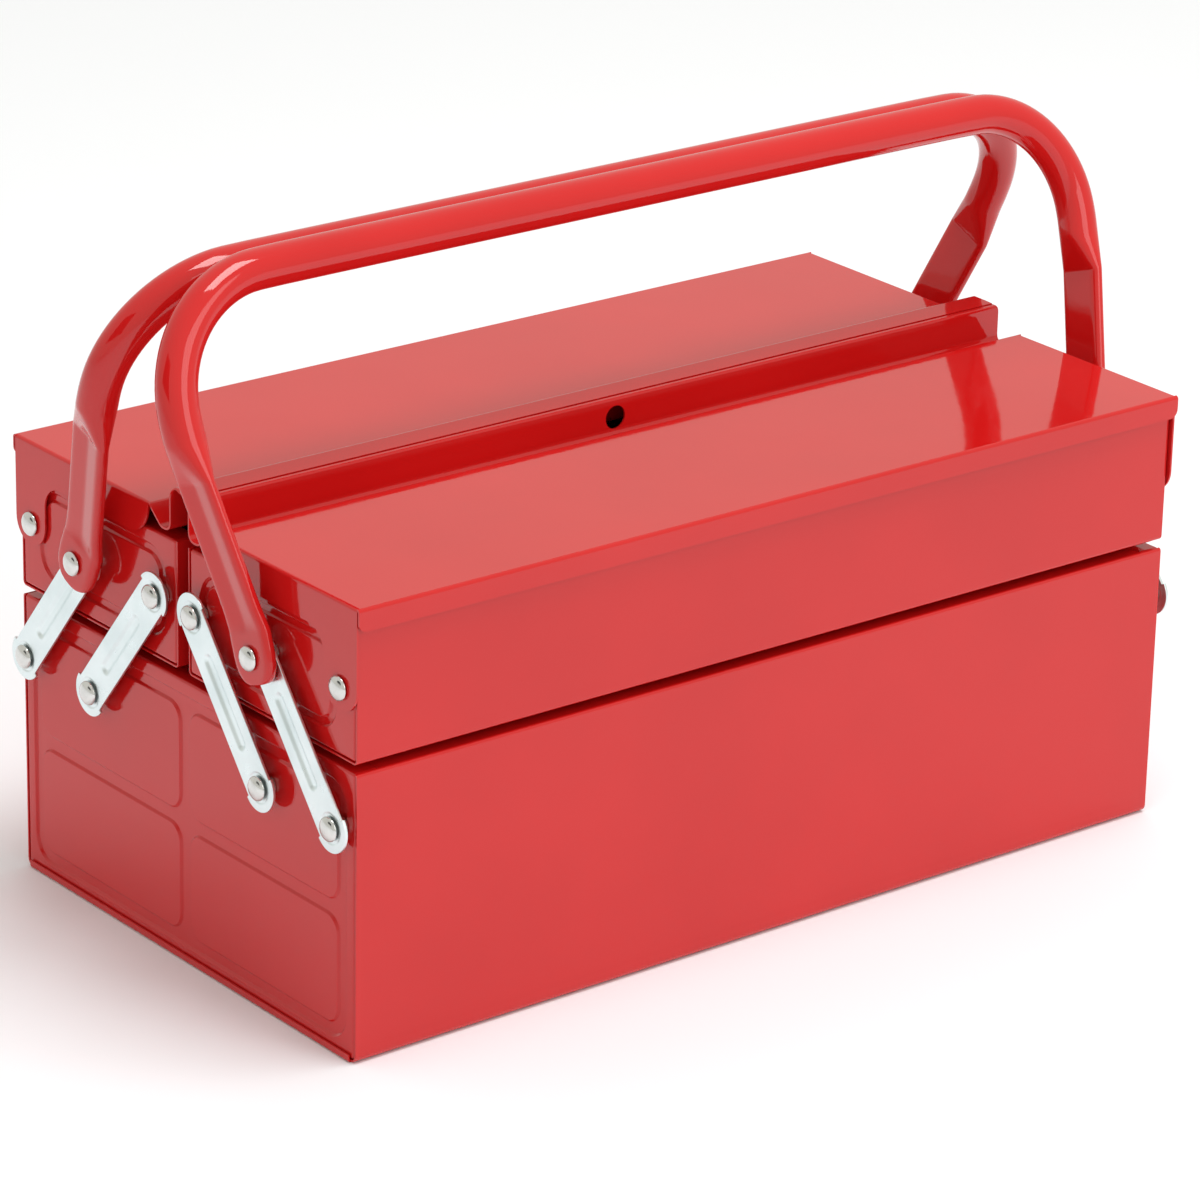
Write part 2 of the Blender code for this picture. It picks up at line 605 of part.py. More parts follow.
# ---------------------------------------------------------------- assembly
def build_side(side_name, lean, rivets):
    side = SIDES[side_name]
    outer_axis = add_axis(f"{side_name}_outer_link_axis", side * OUTER_BASE_Y, BASE_PIVOT_Z)
    inner_axis = add_axis(f"{side_name}_inner_link_axis", side * INNER_BASE_Y, BASE_PIVOT_Z)
    tray_axis = add_axis(f"{side_name}_tray_axis", side * OUTER_TRAY_Y, TRAY_PIVOT_Z, outer_axis)
    handle_axis = add_axis(f"{side_name}_handle_axis", side * OUTER_TRAY_Y, TRAY_PIVOT_Z, tray_axis)
    lid_axis = add_axis(f"{side_name}_lid_axis", side * LID_PIVOT_Y, LID_PIVOT_Z, tray_axis)
    build_tray(side_name, tray_axis)
    build_lid(side_name, lid_axis)
    build_handle(side_name, lean, handle_axis)
    for end_name, end in ENDS.items():
        build_link(f"{side_name}_outer_link_{end_name}", side, end, (OUTER_BASE_Y, BASE_PIVOT_Z),
                   (OUTER_TRAY_Y, TRAY_PIVOT_Z), outer_axis)
        build_link(f"{side_name}_inner_link_{end_name}", side, end, (INNER_BASE_Y, BASE_PIVOT_Z),
                   (INNER_TRAY_Y, TRAY_PIVOT_Z), inner_axis)
        for kind, mesh, y, z, axis in (
                ("outer_base", rivets["link_by_groove"], OUTER_BASE_Y, BASE_PIVOT_Z, None),
                ("inner_base", rivets["link"], INNER_BASE_Y, BASE_PIVOT_Z, None),
                ("handle", rivets["handle"], OUTER_TRAY_Y, TRAY_PIVOT_Z, tray_axis),
                ("inner_tray", rivets["link_by_groove"], INNER_TRAY_Y, TRAY_PIVOT_Z, tray_axis),
                ("lid", rivets["lid"], LID_PIVOT_Y, LID_PIVOT_Z, tray_axis)):
            build_rivet(f"{side_name}_{kind}_rivet_{end_name}", mesh, end, side * y, z, axis)


def main():
    build_base()
    rivets = {
        "link": rivet_mesh("link_rivet", LINK_FACE - HALF_LENGTH),
        "link_by_groove": rivet_mesh("link_rivet_by_groove", LINK_FACE - HALF_LENGTH, PRESS_DEPTH),
        "handle": rivet_mesh("handle_rivet", LUG_MIDDLE + LUG_THICKNESS / 2 - HALF_LENGTH),
        "lid": rivet_mesh("lid_rivet", LID_HALF_LENGTH - HALF_LENGTH, PRESS_DEPTH),
    }
    for side_name, lean in handle_leans().items():
        build_side(side_name, lean, rivets)


main()
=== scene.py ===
# %% [markdown]
# # A cantilever toolbox in gloss red enamel
#
# The box is folded from thin steel sheet, riveted together and painted. A deep base carries two
# trays on zinc-plated links, each tray has its own lid, and two bent tubes make the carrying
# handles. A folded box could be built from thick blocks with bevelled edges, but a sheet that is
# drawn as a surface, folded and then given its thickness has the same bends, raw edges and open
# corners as the real one, so that is the way used here.

# %% Load the frame
import json
import math

import bmesh
import bpy
from mathutils import Matrix, Vector


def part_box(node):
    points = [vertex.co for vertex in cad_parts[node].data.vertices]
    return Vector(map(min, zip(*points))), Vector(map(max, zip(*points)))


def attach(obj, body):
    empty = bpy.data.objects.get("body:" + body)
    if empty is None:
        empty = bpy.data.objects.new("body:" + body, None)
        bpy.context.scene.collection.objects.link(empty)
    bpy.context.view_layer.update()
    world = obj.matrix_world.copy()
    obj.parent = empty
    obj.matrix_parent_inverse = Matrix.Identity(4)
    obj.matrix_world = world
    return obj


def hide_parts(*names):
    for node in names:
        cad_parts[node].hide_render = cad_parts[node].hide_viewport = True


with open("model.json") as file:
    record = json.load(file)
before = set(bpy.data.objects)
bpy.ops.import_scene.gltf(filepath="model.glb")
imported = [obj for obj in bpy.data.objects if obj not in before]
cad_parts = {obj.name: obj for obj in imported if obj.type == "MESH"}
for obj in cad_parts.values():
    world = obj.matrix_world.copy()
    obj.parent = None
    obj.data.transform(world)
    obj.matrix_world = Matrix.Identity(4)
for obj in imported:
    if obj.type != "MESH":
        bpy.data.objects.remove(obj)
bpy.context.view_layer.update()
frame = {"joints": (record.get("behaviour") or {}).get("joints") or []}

# %% [markdown]
# Every size that another piece depends on comes from the frame: the boxes of its solids, and the
# points of its joints. What only shows, such as the width of a pressed groove, is a named value
# next to the piece that has it.

# %% Sizes shared by the pieces
SHEET = 0.0008          # steel sheet
FIT_GAP = 0.0003        # between pieces that touch
HEAD_HEIGHT = 0.0026    # rivet heads
HEAD_RADIUS = 0.0049
HOLE_RADIUS = 0.0028    # rivet holes

half_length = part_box("front_tray_wrapper")[1].x
half_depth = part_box("base_wrapper")[1].y
base_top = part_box("base_wrapper")[1].z
tray_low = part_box("rear_tray_wrapper")[0]
tray_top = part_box("rear_tray_end_right")[1].z
wall_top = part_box("rear_tray_wrapper")[1].z
lid_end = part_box("front_lid")[1].x
lid_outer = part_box("rear_lid")[1].y
pivots = {joint["name"]: Vector(joint["pos_m"]) for joint in frame["joints"]}
print("half length", round(half_length, 4), "half depth", round(half_depth, 4),
      "base top", round(base_top, 4))

# %% [markdown]
# ## Working by hand, in code
#
# In edit mode an operator acts on whatever is selected. These helpers open a piece with nothing
# selected, and pick vertices, edges or faces by a test on their place, as a person would click on
# them.


# %% Open a piece and pick parts of it
SAME_PLACE = 1e-6       # vertices closer than this are one
TINY_EDGE = 0.00015     # rounding a corner can leave edges shorter than this


def deselect():
    bpy.ops.object.select_all(action="DESELECT")


def work_on(piece):
    """Select one piece and nothing else."""
    deselect()
    bpy.context.view_layer.objects.active = piece
    piece.select_set(True)


def edit(piece):
    """Open a piece in edit mode, with nothing in it selected."""
    if bpy.context.object and bpy.context.object.mode == "EDIT":
        bpy.ops.object.mode_set(mode="OBJECT")
    work_on(piece)
    bpy.ops.object.mode_set(mode="EDIT")
    bpy.ops.mesh.select_mode(type="VERT")
    bpy.ops.mesh.select_all(action="DESELECT")


def close():
    """Leave edit mode."""
    bpy.ops.object.mode_set(mode="OBJECT")


def middle(item):
    """The middle of a vertex, an edge or a face."""
    if isinstance(item, bmesh.types.BMVert):
        return item.co
    if isinstance(item, bmesh.types.BMEdge):
        return (item.verts[0].co + item.verts[1].co) / 2
    return item.calc_center_median()


def pick(piece, kind, test):
    """Select the vertices, edges or faces that pass a test, and nothing else."""
    bpy.ops.mesh.select_mode(type=kind)
    bpy.ops.mesh.select_all(action="DESELECT")
    shape = bmesh.from_edit_mesh(piece.data)
    items = {"VERT": shape.verts, "EDGE": shape.edges, "FACE": shape.faces}[kind]
    for item in [item for item in items if test(item)]:
        item.select_set(True)
    shape.select_flush_mode()
    bmesh.update_edit_mesh(piece.data)


def near(value, target, within=1e-5):
    return abs(value - target) < within


def at(item, x=None, y=None, z=None):
    """Whether an item's middle has the given coordinates. One that is left out can be anything."""
    return all(target is None or near(value, target) for value, target in zip(middle(item), (x, y, z)))


def is_level(face, height):
    return near(middle(face).z, height) and abs(face.normal.z) > 0.99


def is_open(edge):
    return len(edge.link_faces) < 2


def merge_close(within=SAME_PLACE):
    """Select everything and make one vertex of those that lie together."""
    bpy.ops.mesh.select_all(action="SELECT")
    bpy.ops.mesh.remove_doubles(threshold=within)


def push(x=0.0, y=0.0, z=0.0):
    """Extrude the selection and move the new end."""
    bpy.ops.mesh.extrude_region_move(TRANSFORM_OT_translate={"value": (x, y, z)})


def round_edges(radius, steps, affect="EDGES"):
    bpy.ops.mesh.bevel(offset_type="OFFSET", offset=radius, segments=steps, profile=0.5, affect=affect,
                       clamp_overlap=False)


def round_corners(radius, steps):
    round_edges(radius, steps, affect="VERTICES")


# %% [markdown]
# Primitives are placed first and then have their place and size applied, so that every finished
# piece keeps its object at the origin and its place in its mesh. A modifier is applied as soon as
# it is set.


# %% Place primitives, apply modifiers, copy pieces
def freeze(piece):
    """Apply the place, turn and size of a piece to its mesh."""
    work_on(piece)
    bpy.ops.object.transform_apply(location=True, rotation=True, scale=True)


def upright_plane(name, x, low, high):
    """A flat face that stands across the box at x, between two (y, z) corners, facing +X."""
    place = (x, (low[0] + high[0]) / 2, (low[1] + high[1]) / 2)
    deselect()
    bpy.ops.mesh.primitive_plane_add(size=1, location=place, rotation=(0, math.pi / 2, 0))
    piece = bpy.context.object
    piece.name = name
    piece.scale = (high[1] - low[1], high[0] - low[0], 1)
    freeze(piece)
    return piece


def apply(piece, name, kind, **settings):
    """Add a modifier with these settings and apply it."""
    work_on(piece)
    modifier = piece.modifiers.new(name, kind)
    for key, value in settings.items():
        setattr(modifier, key, value)
    bpy.ops.object.modifier_apply(modifier=modifier.name)


def join(pieces):
    """Make one piece of several, under the name of the first."""
    deselect()
    for piece in pieces:
        piece.select_set(True)
    bpy.context.view_layer.objects.active = pieces[0]
    bpy.ops.object.join()
    return pieces[0]


def copy_piece(piece, name, x=1, y=1):
    """A copy with its own mesh, mirrored across the box's middle planes if x or y is -1."""
    twin = piece.copy()
    twin.data = piece.data.copy()
    twin.name = twin.data.name = name
    bpy.context.scene.collection.objects.link(twin)
    twin.scale = (x, y, 1)
    freeze(twin)
    shape = bmesh.new()
    shape.from_mesh(twin.data)
    if shape.calc_volume(signed=True) < 0:
        bmesh.ops.reverse_faces(shape, faces=shape.faces)
        shape.to_mesh(twin.data)
    shape.free()
    return twin


def cut(piece, tool, operation="DIFFERENCE"):
    """Take a tool's solid away from a piece, or keep only what they share, and remove the tool."""
    apply(piece, "cut", "BOOLEAN", operation=operation, object=tool, solver="EXACT", use_self=True)
    bpy.data.objects.remove(tool)


DRILL_LENGTH = 0.04
DRILL_OFFSET = 0.006    # from the end of the box to the drill's middle
DRILL_SIDES = 24


def drill(piece, places):
    """Rivet holes along X through both ends of the box, at (y, z) places."""
    drills = []
    for y, z in places:
        for end in (-1, 1):
            deselect()
            bpy.ops.mesh.primitive_cylinder_add(
                vertices=DRILL_SIDES, radius=HOLE_RADIUS, depth=DRILL_LENGTH,
                location=(end * (half_length + DRILL_OFFSET), y, z), rotation=(0, math.pi / 2, 0))
            drills.append(bpy.context.object)
    tool = join(drills)
    freeze(tool)
    cut(piece, tool)


# %% [markdown]
# ## Finishing a piece
#
# Sheared and painted sheet has no knife edge: a bevel of a fifth of a millimetre catches the thin
# line of light that shows along every edge of the box. Weighted normals then keep the large faces
# flat to the eye, so that their reflections stay straight right up to the bends.


# %% Soften, smooth and hand over to the frame
EDGE_SOFTNESS = 0.0002
SHARP_ANGLE = math.radians(50)
finished = []


def thicken(piece, thickness=SHEET):
    """Give a surface its wall, grown inwards."""
    apply(piece, "thickness", "SOLIDIFY", thickness=thickness, offset=-1, use_even_offset=True)


def soften(piece, width=EDGE_SOFTNESS):
    apply(piece, "soft edge", "BEVEL", width=width, segments=2, limit_method="ANGLE",
          angle_limit=SHARP_ANGLE, use_clamp_overlap=True)


def hand_over(piece, node, body, material, smooth=35):
    """Shade and paint a finished piece, and let it take its node's place on its body."""
    work_on(piece)
    bpy.ops.object.shade_smooth_by_angle(angle=math.radians(smooth))
    apply(piece, "even light", "WEIGHTED_NORMAL", mode="FACE_AREA", weight=50, keep_sharp=True)
    piece.data.materials.clear()
    piece.data.materials.append(material)
    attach(piece, body)
    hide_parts(node)
    finished.append(piece)


# %% [markdown]
# ## The paint
#
# Stoved enamel is a deep red under a clear gloss. A single red would look like plastic, so the
# colour drifts a little with the thickness of the coat. Two bumps shape the reflections: a fine one
# for the skin of the paint, and a long, very shallow one for thin sheet that is never quite flat.


# %% Red enamel
def new_material(name):
    """A material with its nodes, links and shader, and the piece's own coordinates."""
    material = bpy.data.materials.new(name)
    material.use_nodes = True
    nodes = material.node_tree.nodes
    shader = nodes["Principled BSDF"]
    place = nodes.new("ShaderNodeTexCoord")
    return material, nodes, material.node_tree.links, shader, place.outputs["Object"]


def noise(nodes, links, place, scale, detail=2.0):
    node = nodes.new("ShaderNodeTexNoise")
    node.inputs["Scale"].default_value = scale
    node.inputs["Detail"].default_value = detail
    links.new(place, node.inputs["Vector"])
    return node.outputs["Fac"]


def spread(nodes, links, value, low, high):
    """Map a noise onto a range of values."""
    node = nodes.new("ShaderNodeMapRange")
    node.inputs["From Min"].default_value = 0.3
    node.inputs["From Max"].default_value = 0.7
    node.inputs["To Min"].default_value = low
    node.inputs["To Max"].default_value = high
    links.new(value, node.inputs["Value"])
    return node.outputs["Result"]


def tint(nodes, links, value, first, second):
    """Fade between two colours with a noise."""
    node = nodes.new("ShaderNodeValToRGB")
    node.color_ramp.elements[0].position = 0.35
    node.color_ramp.elements[1].position = 0.65
    node.color_ramp.elements[0].color = (*first, 1)
    node.color_ramp.elements[1].color = (*second, 1)
    links.new(value, node.inputs["Fac"])
    return node.outputs["Color"]


def bump(nodes, links, value, distance, below=None):
    """Raise a surface by a noise, on top of the bump below."""
    node = nodes.new("ShaderNodeBump")
    node.inputs["Strength"].default_value = 1.0
    node.inputs["Distance"].default_value = distance
    links.new(value, node.inputs["Height"])
    if below:
        links.new(below, node.inputs["Normal"])
    return node.outputs["Normal"]


def make_enamel():
    material, nodes, links, shader, place = new_material("red_enamel")
    drift = noise(nodes, links, place, 9.0, 3.0)
    links.new(tint(nodes, links, drift, (0.545, 0.0080, 0.0080), (0.590, 0.0098, 0.0098)),
              shader.inputs["Base Color"])
    links.new(spread(nodes, links, noise(nodes, links, place, 55.0), 0.045, 0.085),
              shader.inputs["Roughness"])
    shader.inputs["IOR"].default_value = 1.54
    waves = bump(nodes, links, noise(nodes, links, place, 22.0, 1.0), 0.00010)
    skin = bump(nodes, links, noise(nodes, links, place, 260.0, 1.0), 0.000010, waves)
    links.new(skin, shader.inputs["Normal"])
    return material


ENAMEL = make_enamel()
print("paint", ENAMEL.name)

# %% [markdown]
# ## The plated steel
#
# The links are bright zinc, which is bluish, satin and slightly cloudy. The rivets are polished
# steel, so their domes mirror the room. One grey metal could serve for both, but then the links
# would lose their cloud and grain, which tell plating from bare steel, so each has its own.


# %% Zinc plating and bright steel
def make_zinc():
    material, nodes, links, shader, place = new_material("zinc_plate")
    shader.inputs["Metallic"].default_value = 1.0
    cloud = noise(nodes, links, place, 60.0, 4.0)
    links.new(tint(nodes, links, cloud, (0.72, 0.81, 0.82), (0.80, 0.88, 0.89)),
              shader.inputs["Base Color"])
    links.new(spread(nodes, links, noise(nodes, links, place, 130.0, 3.0), 0.26, 0.40),
              shader.inputs["Roughness"])
    grain = bump(nodes, links, noise(nodes, links, place, 900.0, 3.0), 0.000010)
    links.new(grain, shader.inputs["Normal"])
    return material


def make_bright_steel():
    material, nodes, links, shader, place = new_material("polished_steel")
    shader.inputs["Metallic"].default_value = 1.0
    drift = noise(nodes, links, place, 300.0)
    links.new(tint(nodes, links, drift, (0.66, 0.66, 0.64), (0.74, 0.74, 0.72)),
              shader.inputs["Base Color"])
    links.new(spread(nodes, links, noise(nodes, links, place, 500.0, 3.0), 0.10, 0.22),
              shader.inputs["Roughness"])
    return material


ZINC = make_zinc()
BRIGHT_STEEL = make_bright_steel()
print("metals", ZINC.name, BRIGHT_STEEL.name)

# %% [markdown]
# ## Folding sheet
#
# A long sheet with the same fold all the way is drawn as one edge along the box, and that edge is
# extruded from fold line to fold line. Each fold line is then bevelled into an arc, which is its
# bend. The path lists corners as (distance from the middle, height, outer bend radius), with the
# outside of the sheet on the right of the path.


# %% Fold a sheet along a path
def fold_sheet(name, side, path, half, steps=4):
    """A sheet from -half to half along the box, folded along a path on one side of it."""
    deselect()
    bpy.ops.mesh.primitive_plane_add(size=2)
    sheet = bpy.context.object
    sheet.name = sheet.data.name = name
    edit(sheet)
    pick(sheet, "VERT", lambda vert: vert.co.y > 0)
    bpy.ops.mesh.delete(type="VERT")
    bpy.ops.mesh.select_all(action="SELECT")
    bpy.ops.transform.resize(value=(half, 1, 1))
    bpy.ops.transform.translate(value=(0, 1 + side * path[0][0], path[0][1]))
    bpy.ops.mesh.select_mode(type="EDGE")
    for (u, v, _), (next_u, next_v, _) in zip(path, path[1:]):
        push(y=side * (next_u - u), z=next_v - v)
    for before, corner, after in zip(path, path[1:], path[2:]):
        u, v, radius = corner
        if radius:
            run_in = Vector((u - before[0], v - before[1]))
            run_out = Vector((after[0] - u, after[1] - v))
            setback = radius * math.tan(run_in.angle(run_out) / 2)
            pick(sheet, "EDGE", lambda edge: at(edge, 0, side * u, v))
            round_edges(setback, steps)
    run = Vector((path[1][0] - path[0][0], path[1][1] - path[0][1]))
    face_out(sheet, (0, side * (path[0][0] + path[1][0]) / 2, (path[0][1] + path[1][1]) / 2),
             (0, side * run.y, -run.x))
    close()
    return sheet


def face_out(sheet, near_point, outwards):
    """Turn all faces the same way, so that the one nearest to a point looks outwards."""
    bpy.ops.mesh.select_all(action="SELECT")
    bpy.ops.mesh.normals_make_consistent(inside=False)
    shape = bmesh.from_edit_mesh(sheet.data)
    face = min(shape.faces, key=lambda item: (middle(item) - Vector(near_point)).length)
    if face.normal.dot(Vector(outwards)) < 0:
        bpy.ops.mesh.flip_normals()


# %% [markdown]
# ## The base
#
# One sheet makes the front, the bottom and the back, with its rims folded inwards. At each end the
# bottom is turned up over the end plate as a small lip, the seam that shows as a dark line near the
# floor.

# %% Base wrapper
BASE_HEM = 0.008
BASE_BEND = 0.003
RIM_BEND = 0.0013
SEAM_HEIGHT = 0.003
SEAM_BEND = 0.0009
PAN_FLANGE = 0.010
seam_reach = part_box("base_wrapper")[1].x


def make_base_wrapper():
    hem = half_depth - BASE_HEM
    path = [(-hem, base_top, 0), (-half_depth, base_top, RIM_BEND), (-half_depth, 0, BASE_BEND),
            (half_depth, 0, BASE_BEND), (half_depth, base_top, RIM_BEND), (hem, base_top, 0)]
    wrapper = fold_sheet("base_shell", 1, path, half_length)
    edit(wrapper)
    for end in (-1, 1):
        pick(wrapper, "FACE", lambda face: is_level(face, base_top))
        bpy.ops.mesh.bisect(plane_co=(end * (half_length - PAN_FLANGE - FIT_GAP), 0, 0),
                            plane_no=(1, 0, 0))
    pick(wrapper, "FACE", lambda face: is_level(face, base_top)
         and abs(middle(face).x) > half_length - PAN_FLANGE)
    bpy.ops.mesh.delete(type="FACE")
    for end in (-1, 1):
        pick(wrapper, "EDGE", lambda edge: at(edge, end * half_length, 0, 0))
        push(x=end * (seam_reach - half_length))
        push(z=SEAM_HEIGHT)
        pick(wrapper, "EDGE", lambda edge: at(edge, x=end * seam_reach, z=0))
        round_edges(SEAM_BEND, 3)
    close()
    thicken(wrapper)
    soften(wrapper)
    hand_over(wrapper, "base_wrapper", "base", ENAMEL)


make_base_wrapper()
print("base wrapper", len(finished[-1].data.polygons), "faces")

# %% [markdown]
# ## The pressed ends
#
# The end plates are stiffened by shallow grooves, pressed around flat panels. Each level of the
# plate is a flat face with rounded corners. Insetting such a face in several small steps, each a
# little deeper than the last, draws the soft slope of a groove or the bend of a fold, without a
# bevel that could catch on its neighbours. The flat stretches between the outlines are filled
# afterwards.

# %% Press grooves into a plate
PRESS_DEPTH = 0.0010
PRESS_SLOPE = 0.0013
PAN_BEND = 0.0012
SLOPE_STEPS = 5
BEND_STEPS = 4
ENDS = {"left": -1, "right": 1}


def soft_slope(width, rise):
    """Inset steps (inwards, up) of a slope that starts and ends level."""
    shares = [step / SLOPE_STEPS for step in range(SLOPE_STEPS + 1)]
    heights = [share * share * (3 - 2 * share) for share in shares]
    return [(width / SLOPE_STEPS, rise * (after - before)) for before, after in zip(heights, heights[1:])]


def round_bend(radius):
    """Inset steps (inwards, up) of a quarter circle."""
    turns = [math.pi / (2 * BEND_STEPS) * step for step in range(BEND_STEPS + 1)]
    return [(radius * (math.cos(before) - math.cos(after)), radius * (math.sin(after) - math.sin(before)))
            for before, after in zip(turns, turns[1:])]


def step_in(steps):
    """Inset the selected face step by step, each as (inwards, up)."""
    for inwards, rise in steps:
        bpy.ops.mesh.inset(thickness=inwards, depth=rise, use_even_offset=True, use_boundary=True)


def stepped_patch(name, x, low, high, corners, steps):
    """A flat face with rounded corners (height, radius), then inset step by step to another level."""
    patch = upright_plane(name, x, low, high)
    edit(patch)
    for height, radius in corners:
        pick(patch, "VERT", lambda vert: near(vert.co.z, height))
        round_corners(radius, 6)
    merge_close(TINY_EDGE)
    bpy.ops.mesh.select_all(action="SELECT")
    step_in(steps)
    return patch


def pressed_plate(name, low, high, corners, groove, groove_radius, panels, panel_radius):
    """The end plate at +X as one sheet: folded outline, groove and raised panels."""
    def both(span, radius):
        """The same corner radius at the low and the high edge of a span."""
        return ((span[0][1], radius), (span[1][1], radius))

    outline = stepped_patch(name, half_length - PAN_BEND, low, high, corners, round_bend(PAN_BEND))
    bpy.ops.mesh.delete(type="ONLY_FACE")
    pick(outline, "EDGE", lambda edge: at(edge, x=half_length - PAN_BEND))
    push(x=PAN_BEND - PAN_FLANGE)
    close()
    rim = stepped_patch("rim", half_length, *groove, both(groove, groove_radius),
                        soft_slope(PRESS_SLOPE, -PRESS_DEPTH))
    bpy.ops.mesh.delete(type="ONLY_FACE")
    close()
    parts = [outline, rim]
    for panel in panels:
        parts.append(stepped_patch("panel", half_length - PRESS_DEPTH, *panel,
                                   both(panel, panel_radius), soft_slope(PRESS_SLOPE, PRESS_DEPTH)))
        close()
    plate = join(parts)
    plate.data.name = name
    edit(plate)
    for level in (half_length - PRESS_DEPTH, half_length):
        pick(plate, "EDGE", lambda edge: is_open(edge) and at(edge, x=level))
        bpy.ops.mesh.fill(use_beauty=True)
    face_out(plate, (half_length, 0, low[1]), (1, 0, 0))
    close()
    thicken(plate)
    return plate


def hand_over_ends(plate, node, body, y=1):
    """The plate's right end, and its mirror image for the left end."""
    for end_name, end in ENDS.items():
        twin = copy_piece(plate, f"{node}_{end_name}_plate", x=end, y=y)
        hand_over(twin, f"{node}_{end_name}", body, ENAMEL)
    bpy.data.objects.remove(plate)


# %% [markdown]
# The base's ends have four panels, with one groove around them all and a cross between them.

# %% Base ends
GROOVE_EDGE = 0.105         # outer side of the groove from the middle of the box
GROOVE_LOW = 0.0055
GROOVE_HIGH = 0.1105
GROOVE_WIDTH = 0.0062       # of the groove around the panels, slopes included
CROSS_HALF = 0.0037         # half of the grooves between the panels
BASE_LOW_ROUND = 0.0019     # the plate's corners, low and high
END_HIGH_ROUND = 0.0013
BASE_GROOVE_ROUND = 0.0105
BASE_PANEL_ROUND = 0.0078


def make_base_ends():
    low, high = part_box("base_end_right")
    cross = (GROOVE_LOW + GROOVE_HIGH) / 2
    spans_y = ((-GROOVE_EDGE + GROOVE_WIDTH - PRESS_SLOPE, -CROSS_HALF + PRESS_SLOPE),
               (CROSS_HALF - PRESS_SLOPE, GROOVE_EDGE - GROOVE_WIDTH + PRESS_SLOPE))
    spans_z = ((GROOVE_LOW + GROOVE_WIDTH - PRESS_SLOPE, cross - CROSS_HALF + PRESS_SLOPE),
               (cross + CROSS_HALF - PRESS_SLOPE, GROOVE_HIGH - GROOVE_WIDTH + PRESS_SLOPE))
    panels = [((y0, z0), (y1, z1)) for y0, y1 in spans_y for z0, z1 in spans_z]
    corners = ((low.z, BASE_LOW_ROUND), (high.z, END_HIGH_ROUND))
    groove = ((-GROOVE_EDGE, GROOVE_LOW), (GROOVE_EDGE, GROOVE_HIGH))
    plate = pressed_plate("base_end", (low.y, low.z), (high.y, high.z), corners, groove,
                          BASE_GROOVE_ROUND, panels, BASE_PANEL_ROUND)
    drill(plate, [(pivot.y, pivot.z) for name, pivot in pivots.items()
                  if name.endswith(("fold", "link_turn"))])
    soften(plate)
    hand_over_ends(plate, "base_end", "base")


make_base_ends()
print("base end", len(finished[-1].data.polygons), "faces")

# %% [markdown]
# ## The trays
#
# A tray is the same folded trough, shallower, with a taller outer wall that the lid reaches over.
# Its ends have one groove that runs round like a picture frame.

# %% Trays
TRAY_BEND = 0.0020
TRAY_GROOVE = ((0.0112, 0.1272), (0.0985, 0.1648))     # (y, z) of its low and high corner
TRAY_GROOVE_WIDTH = 0.0047
TRAY_GROOVE_ROUND = 0.0115
TRAY_PANEL_ROUND = 0.0082
TRAY_LOW_ROUND = 0.0015
SIDES = {"front": -1, "rear": 1}


def make_tray(side_name):
    side = SIDES[side_name]
    inner = tray_low.y
    path = [(inner, tray_top, 0), (inner, tray_low.z, TRAY_BEND), (half_depth, tray_low.z, TRAY_BEND),
            (half_depth, wall_top, 0)]
    wrapper = fold_sheet(f"{side_name}_tray_shell", side, path, half_length, steps=5)
    thicken(wrapper)
    soften(wrapper)
    hand_over(wrapper, f"{side_name}_tray_wrapper", f"{side_name}_tray", ENAMEL)


def make_tray_ends():
    low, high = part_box("rear_tray_end_right")
    border = TRAY_GROOVE_WIDTH - PRESS_SLOPE
    (y0, z0), (y1, z1) = TRAY_GROOVE
    panel = ((y0 + border, z0 + border), (y1 - border, z1 - border))
    corners = ((low.z, TRAY_LOW_ROUND), (high.z, END_HIGH_ROUND))
    plate = pressed_plate("tray_end", (low.y, low.z), (high.y, high.z), corners, TRAY_GROOVE,
                          TRAY_GROOVE_ROUND, [panel], TRAY_PANEL_ROUND)
    holes = [pivots["rear_tray_level"], pivots["rear_lid_open"], inner_tray_pivot]
    drill(plate, [(point.y, point.z) for point in holes])
    soften(plate)
    spare = copy_piece(plate, "tray_end_front")
    hand_over_ends(plate, "rear_tray_end", "rear_tray")
    hand_over_ends(spare, "front_tray_end", "front_tray", y=-1)


inner_tray_pivot = pivots["rear_inner_link_turn"] + pivots["rear_tray_level"] - pivots["rear_fold"]
for side_name in SIDES:
    make_tray(side_name)
make_tray_ends()
print("tray end", len(finished[-1].data.polygons), "faces")

# %% [markdown]
# ## The lids
#
# A lid is one sheet too. From its outer flange it runs flat to a gutter, down and up again into a
# ridge wall. The front lid's wall ends in a short lap, and the rear lid's wall folds forward into
# the cap that covers the joint. Each end of the flat is bent down into a flap with an ear for the
# rivet. The bend is made by spinning the flat's end edge through a quarter turn, which leaves the
# corners open, as they are on sheet metal.

# %% Lid sections
LID_FLANGE = 0.009
LID_FOLD = 0.0014
GUTTER_START = 0.0200
GUTTER_FLOOR = 0.0067       # below the lid's top
GUTTER_WIDTH = 0.0056       # of its floor
GUTTER_BENDS = (0.0022, 0.0030, 0.0029)     # at its start, at its floor, and up into the ridge
RIDGE_HALF = 0.0065
RIDGE_LAP = 0.0024
LAP_BEND = 0.0011
CAP_BEND = 0.0016
CAP_FALL = 0.0012
RIDGE_ROUND = 0.0045        # rounded top corners at the ridge's ends
LID_RISE = 0.0109           # of the lid's top over the tray's ends
lid_top = tray_top + LID_RISE
print("lid top", round(lid_top, 4))


